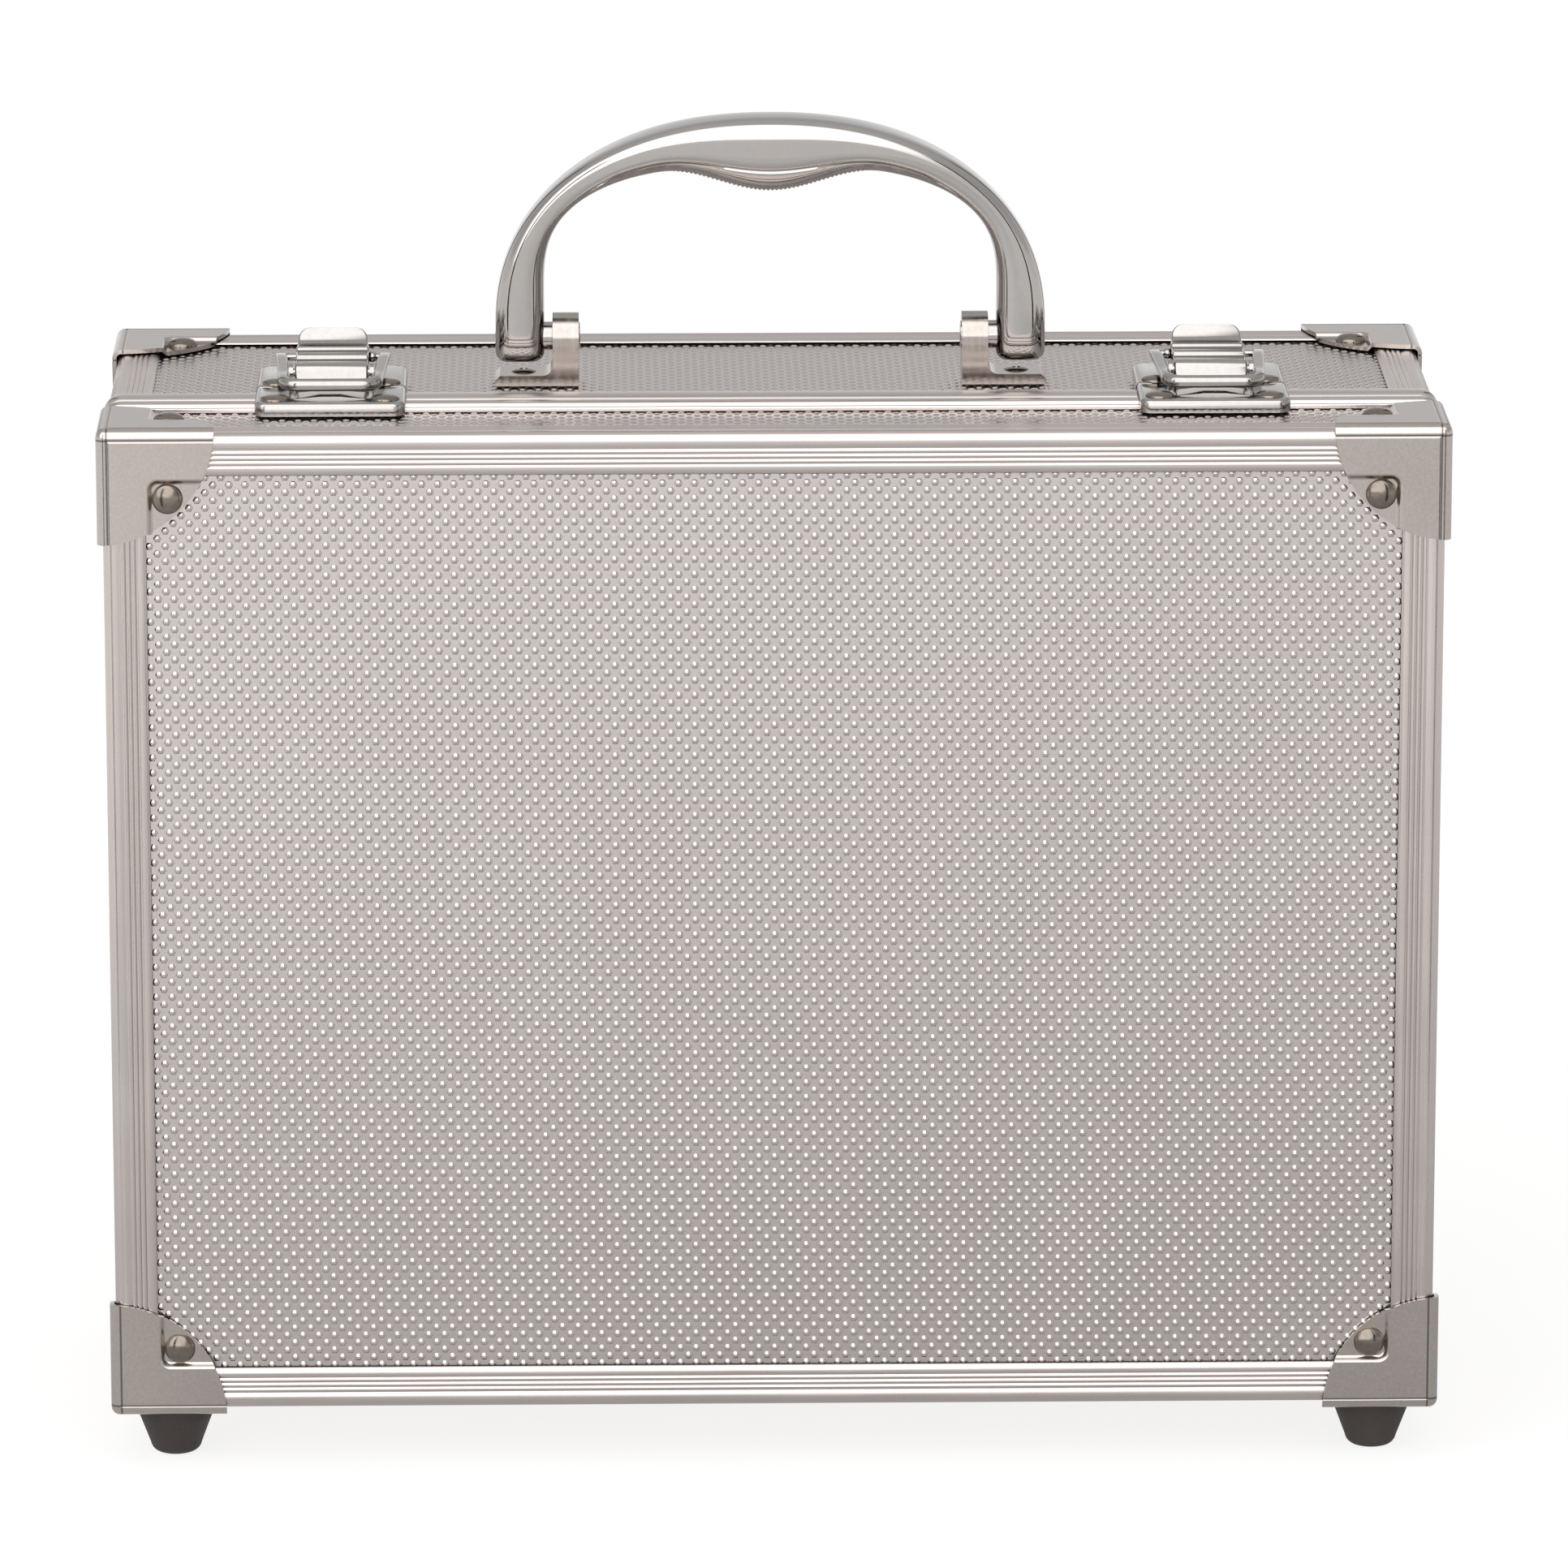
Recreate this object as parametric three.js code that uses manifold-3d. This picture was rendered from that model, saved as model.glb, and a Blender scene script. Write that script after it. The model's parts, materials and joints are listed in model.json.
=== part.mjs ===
// A small hard-sided aluminium carrying case, standing on its hinge side.
//
// The shallow lid is in front (-Y) and the deeper base behind it (+Y). Each half is a tray of five
// boards held in angle-section frame rails, closed at its rim by a beaded closure rail and covered
// at its outer corners by pressed protectors. Two draw latches and an arched handle are on top, a
// long hinge and four feet are underneath. Millimetres, +Z up, origin on the ground at the centre.
import * as THREE from "three";
import { mergeVertices } from "three/addons/utils/BufferGeometryUtils.js";
import Module from "manifold-3d";

const wasm = await Module();
wasm.setup();

// ---- driving dimensions ----------------------------------------------------------------------

const CASE_WIDTH = 280;
const CASE_HEIGHT = 212;
const LID_DEPTH = 31;
const BASE_DEPTH = 73;
const FOOT_HEIGHT = 13;
const GAP = 0.3; // between pieces that touch
const RUNNING_GAP = 0.1; // round a pin, on the radius

const FRAME_ARM = 9; // each arm of an angle-section rail
const FRAME_THICK = 1;
const FRAME_CHAMFER = 0.7;

const PANEL_THICK = 2;
const PANEL_RECESS = 1.25; // below the outside of the frame
const LINING_THICK = 2;

const BASE_CLOSURE_WIDTH = 8.5;
const LID_CLOSURE_WIDTH = 5;
const CLOSURE_CORNER = 3;
const CLOSURE_INNER_CORNER = 0.3;
const BEAD_HEIGHT = 1;
const BEAD_INSET = 1; // from either edge of the closure rail
const LID_BEAD_INSET = 0.6;
const RIM_WIDTH = 1.8;

const PROTECTOR_ARM = 24.6;
const PROTECTOR_THICK = 0.9;

const FOOT_TOP_RADIUS = 7.75;
const FOOT_LOW_RADIUS = 5.6;
const FOOT_ROUND = 1.4;
const FOOT_FROM_SIDE = 12;
const FOOT_FROM_FACE = 13;

const HANDLE_BEHIND_FRONT = 55;
const HANDLE_PIN_HEIGHT = 9.3; // above the top of the case, as all the heights that follow
const HANDLE_PIN_RADIUS = 3;
const HANDLE_PIN_TIP = 55.5; // from the case's middle
const HANDLE_OUTER = { halfWidth: 58.5, low: 12, height: 44.9, power: 2.2 };
const HANDLE_INNER = { halfWidth: 48, low: 20, height: 26.3, power: 2.8 };
const GRIP_BULGE = { height: 5.5, halfWidth: 24 };
const HANDLE_END_RADIUS = 5.6;
const HANDLE_GRIP_DEPTH = 14.6;

const BRACKET_INNER = 40.7; // from the case's middle
const BRACKET_POST = 5.6;
const BRACKET_OUTER = 58.6;
const BRACKET_DEPTH = 10;
const BRACKET_LOW = -0.75;
const BRACKET_PLATE_TOP = 1.65;
const BRACKET_FILLET = 2.2;

const LATCH_OFFSET = 93; // from the case's middle
const LATCH_WIDTH = 31.6;
const LATCH_CORNER = 2;
const LATCH_SHEET = 0.9;
const LATCH_SURFACE = 2.2;
const CATCH_FRONT = 20; // behind the front face, as the other places on the latch
const CATCH_REAR = 37.3;
const LATCH_PLATE_REAR = 59.2;
const FLANGE_LOW = -0.6;
const LEVER_PIVOT = { behind: 40, height: 4.7 };
const LEVER_PIN_RADIUS = 0.9;
const LEVER_HALF_WIDTH = 7.8;
const LEVER_CURL = 2.1;
const EAR_THICK = 1;
const EAR_ROUND = 1.9;
const BAIL_PIVOT = { behind: 54, height: 5.1 };
const BAIL_PIN_RADIUS = 0.8;
const BAIL_PIN_DEPTH = 2; // inside the lever
const BAIL_BAR = { behind: 28, height: 4.2, radius: 1.1 };
const BAIL_HALF_WIDTH = 10.9;
const BAIL_STRIP = 1.4;
const BAIL_ARM_HEIGHT = 2;
const HOOK_HALF_WIDTH = 2;
const HOOK_FRONT = 24;
const HOOK_REAR = 31;
const HOOK_HEIGHT = 0.6;

const HINGE_HALF_LENGTH = 115;
const HINGE_KNUCKLES = 9;
const KNUCKLE_RADIUS = 2.4;
const HINGE_PIN_RADIUS = 1.2;
const HINGE_SHEET = 1;
const HINGE_LEAF_WIDTH = 14;

// ---- places worked out from them -------------------------------------------------------------

const SIDE = CASE_WIDTH / 2;
const FRONT = -(LID_DEPTH + BASE_DEPTH) / 2;
const REAR = -FRONT;
const SEAM = FRONT + LID_DEPTH;
const BOTTOM = FOOT_HEIGHT;
const TOP = BOTTOM + CASE_HEIGHT;
const MIDDLE = (TOP + BOTTOM) / 2;
const PANEL_INNER = PANEL_RECESS + PANEL_THICK; // from the outside to the inside of a board
const LINING_OUTER = PANEL_INNER + GAP;
const PROTECTOR_OUTER = GAP + PROTECTOR_THICK; // how far a protector stands out
const HANDLE_Y = FRONT + HANDLE_BEHIND_FRONT;
const HANDLE_PIN_Z = TOP + HANDLE_PIN_HEIGHT;
const HINGE_LEAF_TOP = BOTTOM - BEAD_HEIGHT - GAP;
const HINGE_Z = HINGE_LEAF_TOP - KNUCKLE_RADIUS;

// ---- solids ----------------------------------------------------------------------------------

function solidFrom(geometry) {
  const bare = geometry.clone();
  bare.deleteAttribute("normal");
  bare.deleteAttribute("uv");
  const merged = mergeVertices(bare, 1e-4);
  const vertProperties = new Float32Array(merged.attributes.position.array);
  const triVerts = new Uint32Array(merged.index.array);
  return new wasm.Manifold(new wasm.Mesh({ numProp: 3, vertProperties, triVerts }));
}

function geometryFrom(solid) {
  const mesh = solid.getMesh();
  const geometry = new THREE.BufferGeometry();
  geometry.setAttribute("position", new THREE.BufferAttribute(mesh.vertProperties, 3));
  geometry.setIndex(new THREE.BufferAttribute(mesh.triVerts, 1));
  const flat = geometry.toNonIndexed();
  flat.computeVertexNormals();
  return flat;
}

function join(...solids) {
  return solids.reduce((whole, next) => whole.add(next));
}

function cut(solid, ...tools) {
  return tools.reduce((rest, tool) => rest.subtract(tool), solid);
}

// A box between two corners, given as [x, y, z].
function block(low, high) {
  const size = high.map((value, i) => value - low[i]);
  const geometry = new THREE.BoxGeometry(...size);
  geometry.translate(...high.map((value, i) => (value + low[i]) / 2));
  return solidFrom(geometry);
}

// A flat outline pushed along an axis. Along x it is drawn in (y, z), along y in (x, z) and along
// z in (x, y).
function prism(shape, axis, from, to, curveSegments = 4) {
  const geometry = new THREE.ExtrudeGeometry(shape, {
    depth: to - from,
    bevelEnabled: false,
    curveSegments,
  });
  const x = new THREE.Vector3(1, 0, 0);
  const y = new THREE.Vector3(0, 1, 0);
  const z = new THREE.Vector3(0, 0, 1);
  const turn = new THREE.Matrix4();
  if (axis === "x") turn.makeBasis(y, z, x);
  if (axis === "y") turn.makeBasis(x, z, y.clone().negate());
  geometry.translate(0, 0, axis === "y" ? -to : from);
  geometry.applyMatrix4(turn);
  return solidFrom(geometry);
}

function outline(points) {
  return new THREE.Shape(points.map(([u, v]) => new THREE.Vector2(u, v)));
}

// A round bar along x.
function rod(radius, y, z, from, to, sides = 24) {
  const geometry = new THREE.CylinderGeometry(radius, radius, to - from, sides);
  geometry.rotateZ(Math.PI / 2);
  geometry.translate((from + to) / 2, y, z);
  return solidFrom(geometry);
}

// A rectangle with round corners, centred on (u, v).
function roundedRectangle(u, v, halfU, halfV, radius) {
  const shape = new THREE.Shape();
  shape.absarc(u + halfU - radius, v + halfV - radius, radius, 0, Math.PI / 2);
  shape.absarc(u - halfU + radius, v + halfV - radius, radius, Math.PI / 2, Math.PI);
  shape.absarc(u - halfU + radius, v - halfV + radius, radius, Math.PI, 1.5 * Math.PI);
  shape.absarc(u + halfU - radius, v - halfV + radius, radius, 1.5 * Math.PI, 2 * Math.PI);
  return shape;
}

const model = new THREE.Group();

function addPiece(name, solid, material) {
  const mesh = new THREE.Mesh(geometryFrom(solid), material.clone());
  mesh.name = name;
  model.add(mesh);
}

// ---- materials -------------------------------------------------------------------------------

function metal(color, roughness) {
  return new THREE.MeshStandardMaterial({ color, roughness, metalness: 1 });
}

function dull(color, roughness) {
  return new THREE.MeshStandardMaterial({ color, roughness, metalness: 0 });
}

const frameAluminium = metal(0xcbc5c0, 0.35);
const panelSheet = metal(0xc2bab4, 0.45);
const protectorSteel = metal(0xbdb7b0, 0.2);
const handleChrome = metal(0xd4d0cc, 0.08);
const latchSteel = metal(0xcfcac4, 0.15);
const hingeSteel = metal(0xb9b5b0, 0.3);
const footRubber = dull(0x1c1817, 0.7);
const liningFabric = dull(0x24242a, 0.95);

// ---- boards and linings ----------------------------------------------------------------------

const panelEdge = FRAME_THICK + GAP; // from the outside to the edge of a face board
const wallEdge = PANEL_INNER + GAP; // from the outside to the end of a wall board

// The four walls of a tray, whose boards lie between two depths.
function addWalls(half, from, to) {
  const inX = SIDE - PANEL_INNER;
  const outX = SIDE - PANEL_RECESS;
  for (const [side, sign] of [["left", -1], ["right", 1]]) {
    const xs = [sign * inX, sign * outX].sort((a, b) => a - b);
    const low = [xs[0], from, BOTTOM + panelEdge];
    const high = [xs[1], to, TOP - panelEdge];
    addPiece(`${half}_${side}_panel`, block(low, high), panelSheet);
  }
  const span = SIDE - wallEdge;
  const topBoard = block([-span, from, TOP - PANEL_INNER], [span, to, TOP - PANEL_RECESS]);
  const lowBoard = block([-span, from, BOTTOM + PANEL_RECESS], [span, to, BOTTOM + PANEL_INNER]);
  addPiece(`${half}_top_panel`, topBoard, panelSheet);
  addPiece(`${half}_bottom_panel`, lowBoard, panelSheet);
}

function faceBoard(from, to) {
  const span = SIDE - panelEdge;
  return block([-span, from, BOTTOM + panelEdge], [span, to, TOP - panelEdge]);
}

// A thin tray inside the boards, open towards the seam.
function lining(from, to, openFront) {
  const span = SIDE - LINING_OUTER;
  const inner = span - LINING_THICK;
  const low = BOTTOM + LINING_OUTER;
  const high = TOP - LINING_OUTER;
  const backOff = openFront ? [-GAP, -LINING_THICK] : [LINING_THICK, GAP];
  return cut(
    block([-span, from, low], [span, to, high]),
    block(
      [-inner, from + backOff[0], low + LINING_THICK],
      [inner, to + backOff[1], high - LINING_THICK],
    ),
  );
}

const baseWallFrom = SEAM + GAP / 2 + RIM_WIDTH + GAP;
const lidWallTo = SEAM - GAP / 2 - RIM_WIDTH - GAP;

addPiece("base_back_panel", faceBoard(REAR - PANEL_INNER, REAR - PANEL_RECESS), panelSheet);
addWalls("base", baseWallFrom, REAR - wallEdge);
addPiece("base_lining", lining(baseWallFrom, REAR - LINING_OUTER, true), liningFabric);

addPiece("lid_front_panel", faceBoard(FRONT + PANEL_RECESS, FRONT + PANEL_INNER), panelSheet);
addWalls("lid", FRONT + wallEdge, lidWallTo);
addPiece("lid_lining", lining(FRONT + LINING_OUTER, lidWallTo, false), liningFabric);

// ---- frame rails -----------------------------------------------------------------------------

// An angle section with its outer corner at (u, v), its arms running along -signU and -signV.
function angleSection(u, v, signU, signV) {
  const points = [
    [FRAME_CHAMFER, 0],
    [FRAME_ARM, 0],
    [FRAME_ARM, FRAME_THICK],
    [FRAME_THICK, FRAME_THICK],
    [FRAME_THICK, FRAME_ARM],
    [0, FRAME_ARM],
    [0, FRAME_CHAMFER],
  ];
  return outline(points.map(([along, across]) => [u - signU * along, v - signV * across]));
}

// The rails round the outer face of one half, at y = face, which looks along signY.
function addFaceRails(half, face, signY) {
  for (const [edge, z, sign] of [["top", TOP, 1], ["bottom", BOTTOM, -1]]) {
    const rail = prism(angleSection(face, z, signY, sign), "x", -SIDE, SIDE);
    addPiece(`${half}_${edge}_rail`, rail, frameAluminium);
  }
  const inset = FRAME_ARM + GAP;
  for (const [edge, sign] of [["left", -1], ["right", 1]]) {
    const section = angleSection(sign * SIDE, face, sign, signY);
    addPiece(`${half}_${edge}_rail`, prism(section, "z", BOTTOM + inset, TOP - inset), frameAluminium);
  }
}

// The short posts along the four edges that run front to back.
function addPosts(half, from, to) {
  for (const [edge, z, signZ] of [["top", TOP, 1], ["bottom", BOTTOM, -1]])
    for (const [side, signX] of [["left", -1], ["right", 1]]) {
      const section = angleSection(signX * SIDE, z, signX, signZ);
      addPiece(`${half}_${edge}_${side}_post`, prism(section, "y", from, to), frameAluminium);
    }
}

addFaceRails("base", REAR, 1);
addPosts("base", SEAM + GAP / 2 + BASE_CLOSURE_WIDTH + GAP, REAR - FRAME_ARM - GAP);
addFaceRails("lid", FRONT, -1);
addPosts("lid", FRONT + FRAME_ARM + GAP, SEAM - GAP / 2 - LID_CLOSURE_WIDTH - GAP);

// ---- closure rails ---------------------------------------------------------------------------

// A band round the case between two depths and two distances below its outside.
function band(from, to, outer, inner) {
  const loop = (inset, radius) =>
    roundedRectangle(0, MIDDLE, SIDE - inset, CASE_HEIGHT / 2 - inset, radius);
  return cut(
    prism(loop(outer, CLOSURE_CORNER), "y", from, to),
    prism(loop(inner, CLOSURE_INNER_CORNER), "y", from - GAP, to + GAP),
  );
}

// A closure rail: a flange over the boards, a bead along its outside and a rim over their edges.
function closureRail(from, to, beadInset, rimFrom, rimTo) {
  return join(
    band(from, to, 0, FRAME_THICK),
    band(from + beadInset, to - beadInset, -BEAD_HEIGHT, FRAME_THICK / 2),
    band(rimFrom, rimTo, FRAME_THICK / 2, LINING_OUTER + LINING_THICK),
  );
}

const baseRimFrom = SEAM + GAP / 2;
const lidRimTo = SEAM - GAP / 2;
addPiece(
  "base_closure_rail",
  closureRail(
    baseRimFrom,
    baseRimFrom + BASE_CLOSURE_WIDTH,
    BEAD_INSET,
    baseRimFrom,
    baseRimFrom + RIM_WIDTH,
  ),
  frameAluminium,
);
addPiece(
  "lid_closure_rail",
  closureRail(lidRimTo - LID_CLOSURE_WIDTH, lidRimTo, LID_BEAD_INSET, lidRimTo - RIM_WIDTH, lidRimTo),
  frameAluminium,
);

// ---- corner protectors -----------------------------------------------------------------------

// A quarter disc in the corner at (u, v), lying towards -signU and -signV.
function quarterDisc(u, v, signU, signV) {
  const steps = 12;
  const points = [[u, v]];
  for (let i = 0; i <= steps; i++) {
    const angle = ((i / steps) * Math.PI) / 2;
    points.push([
      u - signU * PROTECTOR_ARM * Math.cos(angle),
      v - signV * PROTECTOR_ARM * Math.sin(angle),
    ]);
  }
  return outline(points);
}

function sheetSpan(outside, sign) {
  return [outside - sign * PROTECTOR_THICK, outside].sort((a, b) => a - b);
}

function protector(signX, signY, signZ) {
  const x = signX * (SIDE + PROTECTOR_OUTER);
  const y = signY * (REAR + PROTECTOR_OUTER);
  const z = signZ > 0 ? TOP + PROTECTOR_OUTER : BOTTOM - PROTECTOR_OUTER;
  return join(
    prism(quarterDisc(x, z, signX, signZ), "y", ...sheetSpan(y, signY)),
    prism(quarterDisc(y, z, signY, signZ), "x", ...sheetSpan(x, signX)),
    prism(quarterDisc(x, y, signX, signY), "z", ...sheetSpan(z, signZ)),
  );
}

for (const [half, signY] of [["base", 1], ["lid", -1]])
  for (const [edge, signZ] of [["top", 1], ["bottom", -1]])
    for (const [side, signX] of [["left", -1], ["right", 1]])
      addPiece(`${half}_protector_${edge}_${side}`, protector(signX, signY, signZ), protectorSteel);

// ---- feet ------------------------------------------------------------------------------------

function foot(x, y) {
  const height = BOTTOM - PROTECTOR_OUTER - GAP;
  const profile = [
    [0, 0],
    [FOOT_LOW_RADIUS - FOOT_ROUND, 0],
    [FOOT_LOW_RADIUS - FOOT_ROUND / 4, FOOT_ROUND / 3],
    [FOOT_LOW_RADIUS + FOOT_ROUND / 6, FOOT_ROUND],
    [FOOT_TOP_RADIUS, height],
    [0, height],
  ];
  const points = profile.map(([radius, z]) => new THREE.Vector2(radius, z));
  const geometry = new THREE.LatheGeometry(points, 20);
  geometry.rotateX(Math.PI / 2);
  geometry.translate(x, y, 0);
  return solidFrom(geometry);
}

for (const [half, y] of [["base", REAR - FOOT_FROM_FACE], ["lid", FRONT + FOOT_FROM_FACE]])
  for (const [side, sign] of [["left", -1], ["right", 1]])
    addPiece(`${half}_foot_${side}`, foot(sign * (SIDE - FOOT_FROM_SIDE), y), footRubber);

// ---- handle ----------------------------------------------------------------------------------

// One side of an arch whose outline is a superellipse, from its foot at the side to its crown.
function archHeight(arch, x) {
  const share = Math.min(Math.abs(x) / arch.halfWidth, 1);
  return arch.low + arch.height * (1 - share ** arch.power) ** (1 / arch.power);
}

function gripUnderside(x) {
  const share = Math.min(Math.abs(x) / GRIP_BULGE.halfWidth, 1);
  return archHeight(HANDLE_INNER, x) - (GRIP_BULGE.height * (1 + Math.cos(Math.PI * share))) / 2;
}

// Points along an arch, closer together towards its steep ends.
function archPoints(arch, heightAt, steps) {
  const points = [];
  for (let i = 0; i <= steps; i++) {
    const x = -arch.halfWidth * Math.cos((Math.PI * i) / steps);
    points.push([x, TOP + heightAt(x)]);
  }
  return points;
}

function handle() {
  const foot = HANDLE_PIN_Z - HANDLE_END_RADIUS;
  const outer = archPoints(HANDLE_OUTER, (x) => archHeight(HANDLE_OUTER, x), 36);
  const inner = archPoints(HANDLE_INNER, gripUnderside, 36).reverse();
  const front = outline([
    [-HANDLE_OUTER.halfWidth, foot],
    ...outer,
    [HANDLE_OUTER.halfWidth, foot],
    [HANDLE_INNER.halfWidth, foot],
    ...inner,
    [-HANDLE_INNER.halfWidth, foot],
  ]);
  const crown = TOP + HANDLE_OUTER.low + HANDLE_OUTER.height;
  const half = HANDLE_GRIP_DEPTH / 2;
  const side = new THREE.Shape();
  side.absarc(HANDLE_Y, HANDLE_PIN_Z, HANDLE_END_RADIUS, Math.PI, 2 * Math.PI);
  side.lineTo(HANDLE_Y + half, crown - half - HANDLE_INNER.low / 2);
  side.lineTo(HANDLE_Y + half, crown - half / 2);
  side.lineTo(HANDLE_Y + half / 2, crown + GAP);
  side.lineTo(HANDLE_Y - half / 2, crown + GAP);
  side.lineTo(HANDLE_Y - half, crown - half / 2);
  side.lineTo(HANDLE_Y - half, crown - half - HANDLE_INNER.low / 2);
  const width = HANDLE_OUTER.halfWidth + GAP;
  const whole = prism(front, "y", HANDLE_Y - half, HANDLE_Y + half).intersect(
    prism(side, "x", -width, width, 8),
  );
  const bore = HANDLE_PIN_RADIUS + RUNNING_GAP;
  const tip = HANDLE_PIN_TIP + GAP;
  return cut(
    whole,
    rod(bore, HANDLE_Y, HANDLE_PIN_Z, -tip, -HANDLE_INNER.halfWidth + GAP),
    rod(bore, HANDLE_Y, HANDLE_PIN_Z, HANDLE_INNER.halfWidth - GAP, tip),
  );
}

// The L-shaped bracket on one side: a foot plate that the handle's arm stands over, and a post.
function bracket(sign) {
  const low = TOP + BRACKET_LOW;
  const plate = TOP + BRACKET_PLATE_TOP;
  const half = BRACKET_DEPTH / 2;
  const postOuter = BRACKET_INNER + BRACKET_POST;
  const foot = outline(
    [
      [BRACKET_INNER, low],
      [BRACKET_OUTER, low],
      [BRACKET_OUTER, plate - 1],
      [BRACKET_OUTER - 1, plate],
      [postOuter + BRACKET_FILLET, plate],
      [postOuter, plate + BRACKET_FILLET],
      [BRACKET_INNER, plate + BRACKET_FILLET],
    ].map(([x, z]) => [sign * x, z]),
  );
  const post = new THREE.Shape();
  post.moveTo(HANDLE_Y + half, low);
  post.absarc(HANDLE_Y, HANDLE_PIN_Z, half, 0, Math.PI);
  post.lineTo(HANDLE_Y - half, low);
  const postSpan = [sign * BRACKET_INNER, sign * postOuter].sort((a, b) => a - b);
  const bore = rod(
    HANDLE_PIN_RADIUS + RUNNING_GAP,
    HANDLE_Y,
    HANDLE_PIN_Z,
    postSpan[0] - GAP,
    postSpan[1] + GAP,
  );
  return cut(
    join(prism(foot, "y", HANDLE_Y - half, HANDLE_Y + half), prism(post, "x", ...postSpan, 8)),
    bore,
  );
}

addPiece("handle", handle(), handleChrome);
for (const [side, sign] of [["left", -1], ["right", 1]]) {
  addPiece(`handle_bracket_${side}`, bracket(sign), latchSteel);
  const span = [sign * BRACKET_INNER, sign * HANDLE_PIN_TIP].sort((a, b) => a - b);
  addPiece(`handle_pin_${side}`, rod(HANDLE_PIN_RADIUS, HANDLE_Y, HANDLE_PIN_Z, ...span), latchSteel);
}

// ---- latches ---------------------------------------------------------------------------------

const latchY = (behind) => FRONT + behind;
const latchZ = (height) => TOP + height;

// A pressed sheet over part of the top: flat, with its edges folded down to the board beyond the
// closure rail, between noFlangeFrom and noFlangeTo.
function pressedPlate(x, from, to, noFlangeFrom, noFlangeTo) {
  const half = LATCH_WIDTH / 2;
  const sheet = roundedRectangle(x, latchY((from + to) / 2), half, (to - from) / 2, LATCH_CORNER);
  const inside = roundedRectangle(
    x,
    latchY((from + to) / 2),
    half - LATCH_SHEET,
    (to - from) / 2 - LATCH_SHEET,
    LATCH_CORNER - LATCH_SHEET,
  );
  const under = latchZ(LATCH_SURFACE - LATCH_SHEET);
  return cut(
    prism(sheet, "z", latchZ(FLANGE_LOW), latchZ(LATCH_SURFACE)),
    prism(inside, "z", latchZ(FLANGE_LOW) - GAP, under),
    block(
      [x - half - GAP, latchY(noFlangeFrom), latchZ(FLANGE_LOW) - GAP],
      [x + half + GAP, latchY(noFlangeTo), under],
    ),
  );
}

// A thin upright ear round the lever's pivot.
function ear(x, sign) {
  const inner = LEVER_HALF_WIDTH + GAP;
  const span = [x + sign * inner, x + sign * (inner + EAR_THICK)].sort((a, b) => a - b);
  const y = latchY(LEVER_PIVOT.behind);
  const z = latchZ(LEVER_PIVOT.height);
  const low = latchZ(LATCH_SURFACE - LATCH_SHEET / 2);
  const shape = new THREE.Shape();
  shape.moveTo(y + EAR_ROUND * 1.6, low);
  shape.absarc(y, z, EAR_ROUND, 0, Math.PI);
  shape.lineTo(y - EAR_ROUND, low);
  return prism(shape, "x", ...span);
}

function latchPlate(x) {
  const y = latchY(LEVER_PIVOT.behind);
  const z = latchZ(LEVER_PIVOT.height);
  const closureRear = LID_DEPTH + GAP / 2 + BASE_CLOSURE_WIDTH + GAP;
  const reach = LEVER_HALF_WIDTH + EAR_THICK + 2 * GAP;
  return cut(
    join(
      pressedPlate(x, CATCH_REAR + 2 * GAP, LATCH_PLATE_REAR, CATCH_REAR, closureRear),
      ear(x, -1),
      ear(x, 1),
    ),
    rod(LEVER_PIN_RADIUS + RUNNING_GAP, y, z, x - reach, x + reach, 16),
  );
}

function catchPlate(x) {
  const closureFront = LID_DEPTH - GAP / 2 - LID_CLOSURE_WIDTH - GAP;
  const surface = latchZ(LATCH_SURFACE);
  const hook = outline([
    [latchY(HOOK_FRONT), surface - LATCH_SHEET / 2],
    [latchY(HOOK_REAR), surface - LATCH_SHEET / 2],
    [latchY(HOOK_REAR), surface + HOOK_HEIGHT],
    [latchY(HOOK_REAR) - HOOK_HEIGHT, surface + HOOK_HEIGHT],
  ]);
  return join(
    pressedPlate(x, CATCH_FRONT, CATCH_REAR, closureFront, CATCH_REAR + GAP),
    prism(hook, "x", x - HOOK_HALF_WIDTH, x + HOOK_HALF_WIDTH),
  );
}

// The lever in side view: a curl round its pivot, a stepped back and a turned-up thumb tab.
function leverSide() {
  const at = (behind, height) => [latchY(behind), latchZ(height)];
  const curlY = latchY(LEVER_PIVOT.behind);
  const curlZ = latchZ(LEVER_PIVOT.height);
  const curl = [];
  const steps = 8;
  for (let i = 0; i <= steps; i++) {
    const angle = Math.PI / 2 + (Math.PI * i) / steps;
    curl.push([curlY + LEVER_CURL * Math.cos(angle), curlZ + LEVER_CURL * Math.sin(angle)]);
  }
  return outline([
    ...curl,
    at(56, 2.9),
    at(57.6, 4.6),
    at(59.4, 9.8),
    at(58.6, 10.4),
    at(56, 7.7),
    at(52.6, 7.5),
    at(52.2, 7),
    at(46.2, 6.9),
    at(45.8, 6.4),
    at(42.5, 6.3),
  ]);
}

function lever(x) {
  const from = x - LEVER_HALF_WIDTH;
  const to = x + LEVER_HALF_WIDTH;
  const bailY = latchY(BAIL_PIVOT.behind);
  const bailZ = latchZ(BAIL_PIVOT.height);
  const bailBore = BAIL_PIN_RADIUS + RUNNING_GAP;
  const depth = BAIL_PIN_DEPTH + GAP;
  return cut(
    prism(leverSide(), "x", from, to),
    rod(
      LEVER_PIN_RADIUS + RUNNING_GAP,
      latchY(LEVER_PIVOT.behind),
      latchZ(LEVER_PIVOT.height),
      from - GAP,
      to + GAP,
      16,
    ),
    rod(bailBore, bailY, bailZ, from - GAP, from + depth, 16),
    rod(bailBore, bailY, bailZ, to - depth, to + GAP, 16),
  );
}

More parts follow.
